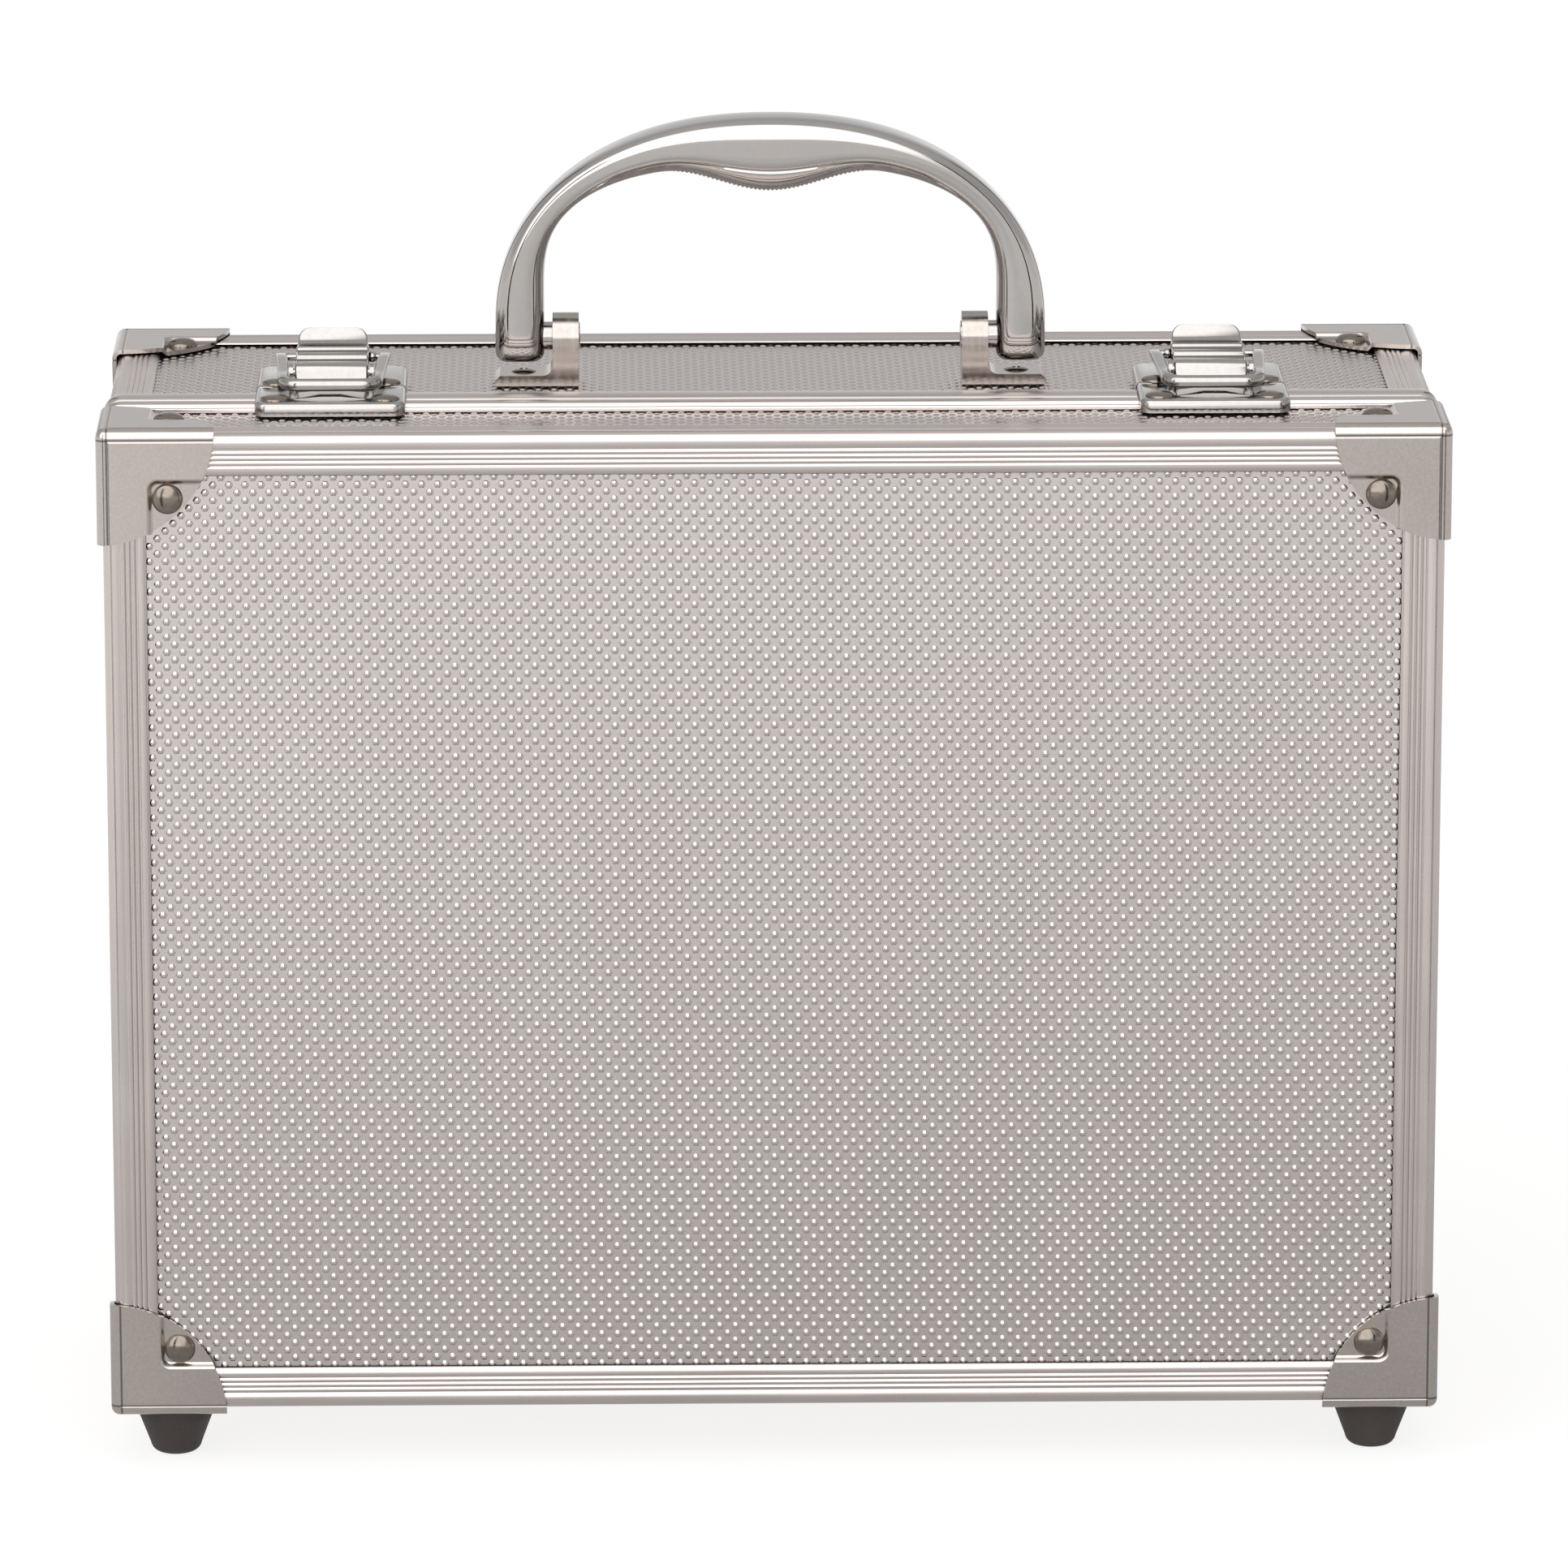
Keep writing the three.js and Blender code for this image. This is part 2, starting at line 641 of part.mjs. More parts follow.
// The loop that reaches from the lever over the catch: a front bar, two strips and two pivot pins.
function bail(x) {
  const barY = latchY(BAIL_BAR.behind);
  const barZ = latchZ(BAIL_BAR.height);
  const pinY = latchY(BAIL_PIVOT.behind);
  const pinZ = latchZ(BAIL_PIVOT.height);
  const half = BAIL_ARM_HEIGHT / 2;
  const arm = outline([
    [barY, barZ - half],
    [pinY + half, pinZ - half],
    [pinY + half, pinZ + half],
    [barY, barZ + half],
  ]);
  const stripInner = BAIL_HALF_WIDTH - BAIL_STRIP;
  const pinInner = LEVER_HALF_WIDTH - BAIL_PIN_DEPTH;
  return join(
    rod(BAIL_BAR.radius, barY, barZ, x - BAIL_HALF_WIDTH, x + BAIL_HALF_WIDTH, 12),
    prism(arm, "x", x - BAIL_HALF_WIDTH, x - stripInner),
    prism(arm, "x", x + stripInner, x + BAIL_HALF_WIDTH),
    rod(BAIL_PIN_RADIUS, pinY, pinZ, x - stripInner - GAP, x - pinInner, 16),
    rod(BAIL_PIN_RADIUS, pinY, pinZ, x + pinInner, x + stripInner + GAP, 16),
  );
}

for (const [side, sign] of [["left", -1], ["right", 1]]) {
  const x = sign * LATCH_OFFSET;
  const pinReach = LEVER_HALF_WIDTH + GAP + EAR_THICK;
  addPiece(`latch_plate_${side}`, latchPlate(x), latchSteel);
  addPiece(`latch_catch_${side}`, catchPlate(x), latchSteel);
  addPiece(`latch_lever_${side}`, lever(x), latchSteel);
  addPiece(`latch_bail_${side}`, bail(x), latchSteel);
  addPiece(
    `latch_pin_${side}`,
    rod(
      LEVER_PIN_RADIUS,
      latchY(LEVER_PIVOT.behind),
      latchZ(LEVER_PIVOT.height),
      x - pinReach,
      x + pinReach,
      16,
    ),
    latchSteel,
  );
}

// ---- hinge -----------------------------------------------------------------------------------

// One leaf with every second knuckle: signY is the side of the seam it lies on.
function hingeLeaf(signY, firstKnuckle) {
  const clear = KNUCKLE_RADIUS + GAP;
  const along = (offset) => SEAM + signY * offset;
  const spanY = (a, b) => [along(a), along(b)].sort((p, q) => p - q);
  const low = HINGE_LEAF_TOP - HINGE_SHEET;
  const [leafFrom, leafTo] = spanY(clear, HINGE_LEAF_WIDTH);
  const [foldFrom, foldTo] = spanY(HINGE_LEAF_WIDTH - HINGE_SHEET, HINGE_LEAF_WIDTH);
  const [tabFrom, tabTo] = spanY(0, clear + HINGE_SHEET);
  const pieces = [
    block([-HINGE_HALF_LENGTH, leafFrom, low], [HINGE_HALF_LENGTH, leafTo, HINGE_LEAF_TOP]),
    block(
      [-HINGE_HALF_LENGTH, foldFrom, low],
      [HINGE_HALF_LENGTH, foldTo, BOTTOM + PANEL_RECESS + FLANGE_LOW],
    ),
  ];
  const pitch = (2 * HINGE_HALF_LENGTH) / HINGE_KNUCKLES;
  for (let i = firstKnuckle; i < HINGE_KNUCKLES; i += 2) {
    const from = -HINGE_HALF_LENGTH + i * pitch + GAP / 2;
    const to = from + pitch - GAP;
    pieces.push(rod(KNUCKLE_RADIUS, SEAM, HINGE_Z, from, to, 20));
    pieces.push(block([from, tabFrom, low], [to, tabTo, HINGE_LEAF_TOP]));
  }
  const reach = HINGE_HALF_LENGTH + GAP;
  return cut(join(...pieces), rod(HINGE_PIN_RADIUS + RUNNING_GAP, SEAM, HINGE_Z, -reach, reach, 16));
}

addPiece("base_hinge_leaf", hingeLeaf(1, 0), hingeSteel);
addPiece("lid_hinge_leaf", hingeLeaf(-1, 1), hingeSteel);
addPiece(
  "hinge_pin",
  rod(HINGE_PIN_RADIUS, SEAM, HINGE_Z, -HINGE_HALF_LENGTH, HINGE_HALF_LENGTH, 16),
  hingeSteel,
);

export default model;
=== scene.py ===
"""Looks of a small hard-sided aluminium carrying case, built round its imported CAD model.

Every shape is worked out in millimetres in the row frame (+X right, +Y from the lid to the back,
+Z up, origin on the ground) and becomes metres when its mesh is made.
"""

import json
import math

import bmesh
import bpy
import numpy as np
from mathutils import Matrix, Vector


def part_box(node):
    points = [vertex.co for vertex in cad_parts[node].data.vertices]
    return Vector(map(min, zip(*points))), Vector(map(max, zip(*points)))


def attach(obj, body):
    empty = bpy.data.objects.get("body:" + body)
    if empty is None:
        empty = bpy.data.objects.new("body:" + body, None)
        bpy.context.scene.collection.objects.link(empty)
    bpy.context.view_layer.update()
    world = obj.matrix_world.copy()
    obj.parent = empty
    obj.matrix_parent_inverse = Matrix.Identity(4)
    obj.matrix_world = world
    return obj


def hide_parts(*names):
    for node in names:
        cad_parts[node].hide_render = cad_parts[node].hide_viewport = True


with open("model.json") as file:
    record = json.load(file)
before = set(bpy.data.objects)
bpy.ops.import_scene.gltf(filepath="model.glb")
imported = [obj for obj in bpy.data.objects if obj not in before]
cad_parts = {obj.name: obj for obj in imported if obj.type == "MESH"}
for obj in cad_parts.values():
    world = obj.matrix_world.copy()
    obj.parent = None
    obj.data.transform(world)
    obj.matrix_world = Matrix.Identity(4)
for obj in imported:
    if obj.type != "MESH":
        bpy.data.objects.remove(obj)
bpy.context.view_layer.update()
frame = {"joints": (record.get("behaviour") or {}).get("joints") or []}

MM = 0.001
X, Y, Z = np.eye(3)


def box(node):
    """Lowest and highest corner of a CAD node, in millimetres."""
    low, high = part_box(node)
    return np.array(low) / MM, np.array(high) / MM


def pivot(joint):
    """Place of a joint, in millimetres."""
    return next(np.array(j["pos_m"]) / MM for j in frame["joints"] if j["name"] == joint)


def clamp(value):
    """The value held between 0 and 1."""
    return min(max(value, 0), 1)


def ease(share):
    """A share of 0 to 1 that starts and ends slowly."""
    return share**2 * (3 - 2 * share)


def superellipse(cos, sin, power):
    """A point of the unit curve that is a circle at power 2 and squarer above it."""
    return tuple(math.copysign(abs(c) ** (2 / power), c) for c in (cos, sin))


# ---- places taken from the CAD model ---------------------------------------------------------

FRONT = box("lid_top_rail")[0][1]
REAR = box("base_top_rail")[1][1]
SIDE = box("lid_top_rail")[1][0]
TOP = box("lid_top_rail")[1][2]
BOTTOM = box("lid_bottom_rail")[0][2]
MIDDLE = (TOP + BOTTOM) / 2
HALF_HEIGHT = (TOP - BOTTOM) / 2
FRAME_ARM = TOP - box("lid_top_rail")[0][2]
PROTECTOR_STEP = box("lid_protector_top_right")[1][0] - SIDE
PROTECTOR_ARM = np.ptp(box("lid_protector_top_right"), axis=0)[0]

EDGE_GROOVE_AT = 2.3  # the line that runs round a protector's flap, inside its rounded edge
EDGE_GROOVE_HALF = 0.3
EDGE_GROOVE_DEPTH = 0.12

SIDES = (("left", -1), ("right", 1))
EDGES = (("top", 1), ("bottom", -1))
HALVES = (("base", 1), ("lid", -1))


# ---- solids ----------------------------------------------------------------------------------

class Solid:
    """Points in millimetres and faces of one piece while it is put together."""

    def __init__(self):
        self.points = []
        self.faces = []

    def add(self, points, faces):
        start = len(self.points)
        self.points += [np.asarray(p, float) for p in points]
        self.faces += [[start + i for i in face] for face in faces]

    def loft(self, rings, closed=False):
        """Joins rings that have the same number of points. Unless it is closed, both ends are capped."""
        count = len(rings[0])
        faces = []
        for i in range(len(rings) - (0 if closed else 1)):
            a = i * count
            b = (i + 1) % len(rings) * count
            faces += [[a + j, a + (j + 1) % count, b + (j + 1) % count, b + j] for j in range(count)]
        if not closed:
            last = (len(rings) - 1) * count
            faces.append(list(range(count))[::-1])
            faces.append([last + j for j in range(count)])
        self.add([p for ring in rings for p in ring], faces)

    def prism(self, outline, origin, u, v, along, start, end):
        """A flat outline of (u, v) pairs pushed along an axis from start to end."""
        flat = [origin + a * u + b * v for a, b in outline]
        self.loft([[p + along * start for p in flat], [p + along * end for p in flat]])

    def lathe(self, profile, origin, axis, segments=32):
        """(radius, distance along the axis) pairs turned about the axis."""
        side = np.cross(axis, Z if abs(axis[2]) < 0.9 else X)
        side /= np.linalg.norm(side)
        other = np.cross(axis, side)
        turns = [2 * math.pi * k / segments for k in range(segments)]
        ring = [math.cos(t) * side + math.sin(t) * other for t in turns]
        self.loft([[origin + r * d + h * axis for d in ring] for r, h in profile])

    def thicken(self, points, normals, faces, thickness):
        """A sheet: the open surface, a copy of it below, and a rim along the free edges."""
        count = len(points)
        inner = [p - thickness * n for p, n in zip(points, normals)]
        used = {}
        for face in faces:
            for a, b in zip(face, face[1:] + face[:1]):
                used.setdefault((min(a, b), max(a, b)), []).append((a, b))
        rim = [ends[0] for ends in used.values() if len(ends) == 1]
        under = [[count + i for i in reversed(face)] for face in faces]
        walls = [[b, a, count + a, count + b] for a, b in rim]
        self.add(list(points) + inner, list(faces) + under + walls)


def arc(centre, radius, start, end, steps):
    """Points on an arc, its angles in degrees."""
    turns = np.radians(np.linspace(start, end, steps + 1))
    return [(centre[0] + radius * math.cos(t), centre[1] + radius * math.sin(t)) for t in turns]


def rounded_rectangle(half_u, half_v, radii, steps=6):
    """Outline about the origin, from its low right corner anticlockwise, with one radius per corner."""
    outline = []
    for (su, sv), radius, start in zip(((1, -1), (1, 1), (-1, 1), (-1, -1)), radii, (270, 0, 90, 180)):
        centre = (su * (half_u - radius), sv * (half_v - radius))
        outline += arc(centre, radius, start, start + 90, steps)
    return outline


def curve_through(points, per_span):
    """Catmull-Rom curve through the points."""
    p = np.array([points[0], *points, points[-1]], float)
    curve = []
    for i in range(1, len(p) - 2):
        for t in np.arange(per_span) / per_span:
            a, b, c, d = p[i - 1 : i + 3]
            curve.append(
                0.5 * (2 * b + (c - a) * t + (2 * a - 5 * b + 4 * c - d) * t**2
                       + (3 * b - a - 3 * c + d) * t**3)
            )
    return np.array(curve + [p[-2]])


def finish_piece(mesh, name, material, body, slot, nodes, sharp_angle=32, bevel=0):
    """Shades a mesh, gives it its edges and its material, and sets it on its CAD body."""
    mesh.materials.append(material)
    mesh.polygons.foreach_set("use_smooth", [True] * len(mesh.polygons))
    mesh.set_sharp_from_angle(angle=math.radians(sharp_angle))
    piece = bpy.data.objects.new(name, mesh)
    bpy.context.scene.collection.objects.link(piece)
    if bevel:
        modifier = piece.modifiers.new("edges", "BEVEL")
        modifier.width = bevel * MM
        modifier.segments = 3
        modifier.limit_method = "ANGLE"
        modifier.angle_limit = math.radians(sharp_angle)
        modifier.use_clamp_overlap = True
        modifier.harden_normals = True
    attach(piece, body)
    if nodes:
        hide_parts(*nodes)
    return piece


def make_piece(solid, name, material, body, slot, nodes=(), **options):
    """Turns a solid into a piece: welds it, points its faces outwards and finishes it."""
    mesh = bpy.data.meshes.new(name)
    mesh.from_pydata([tuple(p * MM) for p in solid.points], [], solid.faces)
    edit = bmesh.new()
    edit.from_mesh(mesh)
    bmesh.ops.remove_doubles(edit, verts=edit.verts, dist=2e-6)
    bmesh.ops.dissolve_degenerate(edit, edges=edit.edges, dist=1e-6)
    bmesh.ops.recalc_face_normals(edit, faces=edit.faces)
    edit.to_mesh(mesh)
    edit.free()
    return finish_piece(mesh, name, material, body, slot, nodes, **options)


# ---- materials -------------------------------------------------------------------------------

class Nodes:
    """A material's node tree, with short ways to add what the finishes need."""

    def __init__(self, name):
        self.material = bpy.data.materials.new(name)
        self.material.use_nodes = True
        self.tree = self.material.node_tree
        self.shader = self.tree.nodes["Principled BSDF"]
        self.place = self.tree.nodes.new("ShaderNodeTexCoord").outputs["Object"]

    def link(self, source, target):
        self.tree.links.new(source, target)

    def noise(self, scale, detail=3, stretch=(1, 1, 1), roughness=0.55):
        """Noise with this many features a metre, squeezed by the stretch along each axis."""
        mapping = self.tree.nodes.new("ShaderNodeMapping")
        mapping.inputs["Scale"].default_value = stretch
        self.link(self.place, mapping.inputs["Vector"])
        texture = self.tree.nodes.new("ShaderNodeTexNoise")
        texture.inputs["Scale"].default_value = scale
        texture.inputs["Detail"].default_value = detail
        texture.inputs["Roughness"].default_value = roughness
        self.link(mapping.outputs["Vector"], texture.inputs["Vector"])
        return texture.outputs["Fac"]

    def spread(self, value, low, high, start=0.3, end=0.7):
        """Maps a value from start..end to low..high."""
        node = self.tree.nodes.new("ShaderNodeMapRange")
        node.inputs["From Min"].default_value = start
        node.inputs["From Max"].default_value = end
        node.inputs["To Min"].default_value = low
        node.inputs["To Max"].default_value = high
        self.link(value, node.inputs["Value"])
        return node.outputs["Result"]

    def combine(self, operation, a, b):
        node = self.tree.nodes.new("ShaderNodeMath")
        node.operation = operation
        for socket, value in zip(node.inputs, (a, b)):
            if isinstance(value, (int, float)):
                socket.default_value = value
            else:
                self.link(value, socket)
        return node.outputs["Value"]

    def weighted(self, *terms):
        """Sum of (value, weight) pairs."""
        first, *others = (self.combine("MULTIPLY", value, weight) for value, weight in terms)
        for other in others:
            first = self.combine("ADD", first, other)
        return first

    def tint(self, share, dark, light):
        """Colour between two by a share."""
        node = self.tree.nodes.new("ShaderNodeMix")
        node.data_type = "RGBA"
        node.inputs["A"].default_value = (*dark, 1)
        node.inputs["B"].default_value = (*light, 1)
        self.link(share, node.inputs["Factor"])
        return node.outputs["Result"]

    def bump(self, height, strength, depth_mm):
        node = self.tree.nodes.new("ShaderNodeBump")
        node.inputs["Strength"].default_value = strength
        node.inputs["Distance"].default_value = depth_mm * MM
        self.link(height, node.inputs["Height"])
        self.link(node.outputs["Normal"], self.shader.inputs["Normal"])


def scaled(colour, factor):
    return tuple(min(1, c * factor) for c in colour)


def metal(name, colour, roughness, grain, stretch, variation, smudge, bump, shade=None):
    """A metal with fine grain or drawing lines, slow blotches and uneven polish.

    grain is the number of grain features a metre; stretch below 1 draws them out along an axis.
    variation is that of its colour, smudge that of its roughness, and shade, if given, paints shade into
    its colour.
    """
    n = Nodes(name)
    fine = n.noise(grain, 4, stretch, 0.7)
    blotch = n.noise(28, 3)
    speck = n.noise(2600, 2)
    n.shader.inputs["Metallic"].default_value = 1
    share = n.spread(n.weighted((fine, 0.5), (blotch, 0.3), (speck, 0.2)), 0, 1, 0.35, 0.65)
    tone = n.tint(share, scaled(colour, 1 - variation), scaled(colour, 1 + variation))
    n.link(shade(n, tone) if shade else tone, n.shader.inputs["Base Color"])
    polish = n.weighted((blotch, 0.5), (fine, 0.5))
    ends = (roughness * (1 - smudge), roughness * (1 + smudge))
    n.link(n.spread(polish, *ends, 0.35, 0.65), n.shader.inputs["Roughness"])
    n.bump(n.combine("ADD", fine, speck), bump, 0.02)
    return n.material


def painted_groove_shade(n, tone):
    """Paints shade into the fine grooves that run along the edges of the protectors: it darkens the tone
    there.
    """
    split = n.tree.nodes.new("ShaderNodeSeparateXYZ")
    n.link(n.place, split.inputs["Vector"])
    centres = (0, 0, MIDDLE)
    halves = (SIDE, REAR, HALF_HEIGHT)
    shade = 1
    for axis, centre, half in zip("XYZ", centres, halves):
        away = n.combine("ABSOLUTE", n.combine("SUBTRACT", split.outputs[axis], centre * MM), 0)
        groove = (half + PROTECTOR_STEP - EDGE_GROOVE_AT) * MM
        off = n.combine("ABSOLUTE", n.combine("SUBTRACT", away, groove), 0)
        dark = n.spread(off, 0.35, 1, EDGE_GROOVE_HALF * MM / 3, EDGE_GROOVE_HALF * MM)
        shade = n.combine("MULTIPLY", dark, shade)
    node = n.tree.nodes.new("ShaderNodeVectorMath")
    node.operation = "SCALE"
    n.link(tone, node.inputs[0])
    n.link(shade, node.inputs["Scale"])
    return node.outputs["Vector"]


def matt(name, fine, blotch, weights, spread, colours, roughness, bump):
    """A dark matt surface with fine grain and slow blotches, each given as noise settings."""
    n = Nodes(name)
    fine = n.noise(*fine)
    blotch = n.noise(*blotch)
    share = n.spread(n.weighted((fine, weights[0]), (blotch, weights[1])), 0, 1, *spread)
    n.link(n.tint(share, *colours), n.shader.inputs["Base Color"])
    n.link(n.spread(blotch, *roughness), n.shader.inputs["Roughness"])
    n.bump(fine, *bump)
    return n


def rubber():
    colours = ((0.013, 0.009, 0.008), (0.042, 0.031, 0.027))
    n = matt("rubber_black", (3500, 3), (60, 3), (0.5, 0.5), (0.3, 0.7), colours, (0.5, 0.75), (0.5, 0.08))
    return n.material


def felt():
    colours = ((0.018, 0.018, 0.022), (0.06, 0.06, 0.07))
    fibres = (1800, 5, (1, 1, 1), 0.8)
    n = matt("lining_felt", fibres, (45, 3), (0.65, 0.35), (0.35, 0.65), colours, (0.85, 1.0), (0.7, 0.25))
    n.shader.inputs["Sheen Weight"].default_value = 0.35
    return n.material


ALUMINIUM_COLOUR = (0.55, 0.495, 0.47)
PANEL_COLOUR = (0.56, 0.517, 0.50)
STEEL_COLOUR = (0.465, 0.42, 0.39)
CHROME_COLOUR = (0.42, 0.40, 0.385)
NICKEL_COLOUR = (0.38, 0.345, 0.32)
RIVET_COLOUR = (0.21, 0.18, 0.153)

EVEN = (1, 1, 1)
ALONG = {
    axis: metal(f"aluminium_drawn_{axis}", ALUMINIUM_COLOUR, 0.26, 2400, stretch, 0.03, 0.25, 0.04)
    for axis, stretch in (("x", (0.01, 1, 1)), ("y", (1, 0.01, 1)), ("z", (1, 1, 0.01)))
}
PANEL = metal("panel_satin", PANEL_COLOUR, 0.23, 700, EVEN, 0.025, 0.1, 0.08)
# the protectors' edge grooves get painted shade in their colour
STEEL = metal("protector_nickel", STEEL_COLOUR, 0.18, 1500, EVEN, 0.07, 0.3, 0.12, painted_groove_shade)
CHROME = metal("handle_chrome", CHROME_COLOUR, 0.06, 500, EVEN, 0.03, 0.5, 0.03)
NICKEL = metal("bracket_nickel", NICKEL_COLOUR, 0.15, 900, (1, 1, 0.12), 0.14, 0.4, 0.2)
LATCH = metal("latch_chrome", scaled(CHROME_COLOUR, 0.86), 0.12, 800, EVEN, 0.07, 0.5, 0.12)
RIVET = metal("rivet_dull_nickel", RIVET_COLOUR, 0.17, 900, EVEN, 0.2, 0.4, 0.15)
ZINC = metal("hinge_zinc", STEEL_COLOUR, 0.33, 900, (0.05, 1, 1), 0.12, 0.3, 0.2)
RUBBER = rubber()
FELT = felt()


# ---- boards ----------------------------------------------------------------------------------

DOT_PITCH = (3.35, 3.24)  # two dots in each cell of this size
DOT_SIDES = 6
DOT_RINGS = ((0.88, 0), (0.68, 0.27), (0.26, 0.48))  # (radius, height)
DOT_LOW = 0.48  # share of that height on the boards that face up and down
DOT_HIDDEN = 0.6  # a dot this far under the frame is left out
COVERED_BY_PROTECTOR = PROTECTOR_ARM - 2.5


def shown_dots(u, v, opening, corners):
    """Which of the dots at (u, v) show in a frame's opening, beside the protectors at its corners."""
    (low_u, low_v), (high_u, high_v) = opening
    shown = (u > low_u - DOT_HIDDEN) & (u < high_u + DOT_HIDDEN)
    shown &= (v > low_v - DOT_HIDDEN) & (v < high_v + DOT_HIDDEN)
    for corner_u, corner_v in corners:
        shown &= np.hypot(u - corner_u, v - corner_v) > COVERED_BY_PROTECTOR
    return shown


def dot_faces(diamond, rings):
    """Faces of the dots: skirts from each diamond to its foot ring, walls between rings, and caps."""
    right, far, left, near = diamond
    foot = rings[0]
    skirt = (
        (right, far, foot[1], foot[0]), (far, left, foot[3], foot[2]),
        (left, near, foot[4], foot[3]), (near, right, foot[0], foot[5]),
    )
    tips = ((far, foot[2], foot[1]), (near, foot[5], foot[4]))
    walls = [zip(a, a[1:] + a[:1], b[1:] + b[:1], b) for a, b in zip(rings, rings[1:])]
    groups = [np.concatenate([np.stack(face, 1) for face in faces]) for faces in (skirt, tips, *walls)]
    return [*groups, np.stack(rings[-1], 1)]


def rim_faces(grid, places):
    """Triangles and quads round the lattice places that lie on the sheet's edge."""
    faces = []
    for a, b in places:
        near = [(a + s, b + t) for s, t in ((1, 0), (0, 1), (-1, 0), (0, -1))]
        kept = [0 <= p < grid.shape[0] and 0 <= q < grid.shape[1] for p, q in near]
        first = next(k for k in range(4) if kept[k] and not kept[k - 1])
        ring = [near[(first + k) % 4] for k in range(sum(kept))]
        faces.append([grid[a, b], *(grid[p, q] for p, q in ring)])
    same = [[face for face in faces if len(face) == size] for size in (3, 4)]
    return [np.array(group) for group in same if group]


def mesh_of_groups(name, points, groups):
    """A mesh of points in millimetres and of groups of faces, each group of one size of face."""
    mesh = bpy.data.meshes.new(name)
    mesh.vertices.add(len(points))
    mesh.vertices.foreach_set("co", (points * MM).ravel())
    corners = np.concatenate([g.ravel() for g in groups])
    sizes = np.concatenate([np.full(len(g), g.shape[1]) for g in groups])
    mesh.loops.add(len(corners))
    mesh.loops.foreach_set("vertex_index", corners)
    mesh.polygons.add(len(sizes))
    mesh.polygons.foreach_set("loop_start", np.cumsum(sizes) - sizes)
    mesh.update(calc_edges=True)
    return mesh


def sharpen(mesh, first, last):
    """Marks the edges between these vertices sharp."""
    ends = np.zeros(2 * len(mesh.edges), np.int64)
    mesh.edges.foreach_get("vertices", ends)
    sharp = np.zeros(len(mesh.edges), bool)
    mesh.edges.foreach_get("use_edge_sharp", sharp)
    inside = (ends >= first) & (ends < last)
    mesh.edges.foreach_set("use_edge_sharp", sharp | inside.reshape(-1, 2).all(1))


def dimpled_board(node, body, normal, u_axis, v_axis, opening, corners):
    """A board whose outer face carries a staggered lattice of raised dots.

    The lattice is of diamonds: each has a dot in it, or is left flat where the dot wouldn't show.
    """
    low, high = box(node)
    ends_u, ends_v, ends_n = (sorted((low @ a, high @ a)) for a in (u_axis, v_axis, normal))
    count_u, count_v = (round((e[1] - e[0]) / p * 2) for e, p in zip((ends_u, ends_v), DOT_PITCH))
    us = np.linspace(*ends_u, count_u + 1)
    vs = np.linspace(*ends_v, count_v + 1)
    i, j = (a.ravel() for a in np.indices((count_u + 1, count_v + 1)))
    grid = np.arange(i.size).reshape(count_u + 1, count_v + 1)
    points = [np.stack([us[i], vs[j], np.full(i.size, ends_n[1])], 1)]
    even = (i + j) % 2 == 0
    inner = even & (i > 0) & (i < count_u) & (j > 0) & (j < count_v)
    shown = inner & shown_dots(us[i], vs[j], opening, corners)

    def diamonds(mask):
        a, b = i[mask], j[mask]
        return [grid[a + 1, b], grid[a, b + 1], grid[a - 1, b], grid[a, b - 1]]

    dots = shown.sum()
    rise = DOT_LOW if abs(normal[2]) > 0.5 else 1
    rings = [[] for _ in DOT_RINGS]
    end = grid.size
    for ring, (radius, height) in zip(rings, DOT_RINGS):
        for turn in 2 * math.pi * np.arange(DOT_SIDES) / DOT_SIDES:
            u = us[i[shown]] + radius * math.cos(turn)
            v = vs[j[shown]] + radius * math.sin(turn)
            points.append(np.stack([u, v, np.full(dots, ends_n[1] + height * rise)], 1))
            ring.append(end + np.arange(dots))
            end += dots
    groups = [np.stack(diamonds(inner & ~shown), 1), *dot_faces(diamonds(shown), rings)]
    groups += rim_faces(grid, zip(i[even & ~inner], j[even & ~inner]))

    (u0, u1), (v0, v1) = ends_u, ends_v
    points.append(np.array([(u, v, ends_n[0]) for u, v in ((u0, v0), (u1, v0), (u1, v1), (u0, v1))]))
    groups.append(np.array([[end + 3, end + 2, end + 1, end]]))
    for k, edge in enumerate((grid[::-1, 0], grid[-1, ::-1], grid[:, -1], grid[0, :])):
        groups.append(np.array([[end + k, end + (k + 1) % 4, *edge]]))
    world = np.concatenate(points) @ np.stack([u_axis, v_axis, normal])
    mesh = mesh_of_groups(node + "_dimpled", world, groups)
    finish_piece(mesh, node + "_dimpled", PANEL, body, "panel_sheet", [node], sharp_angle=75)
    sharpen(mesh, grid.size, grid.size + DOT_SIDES * dots)


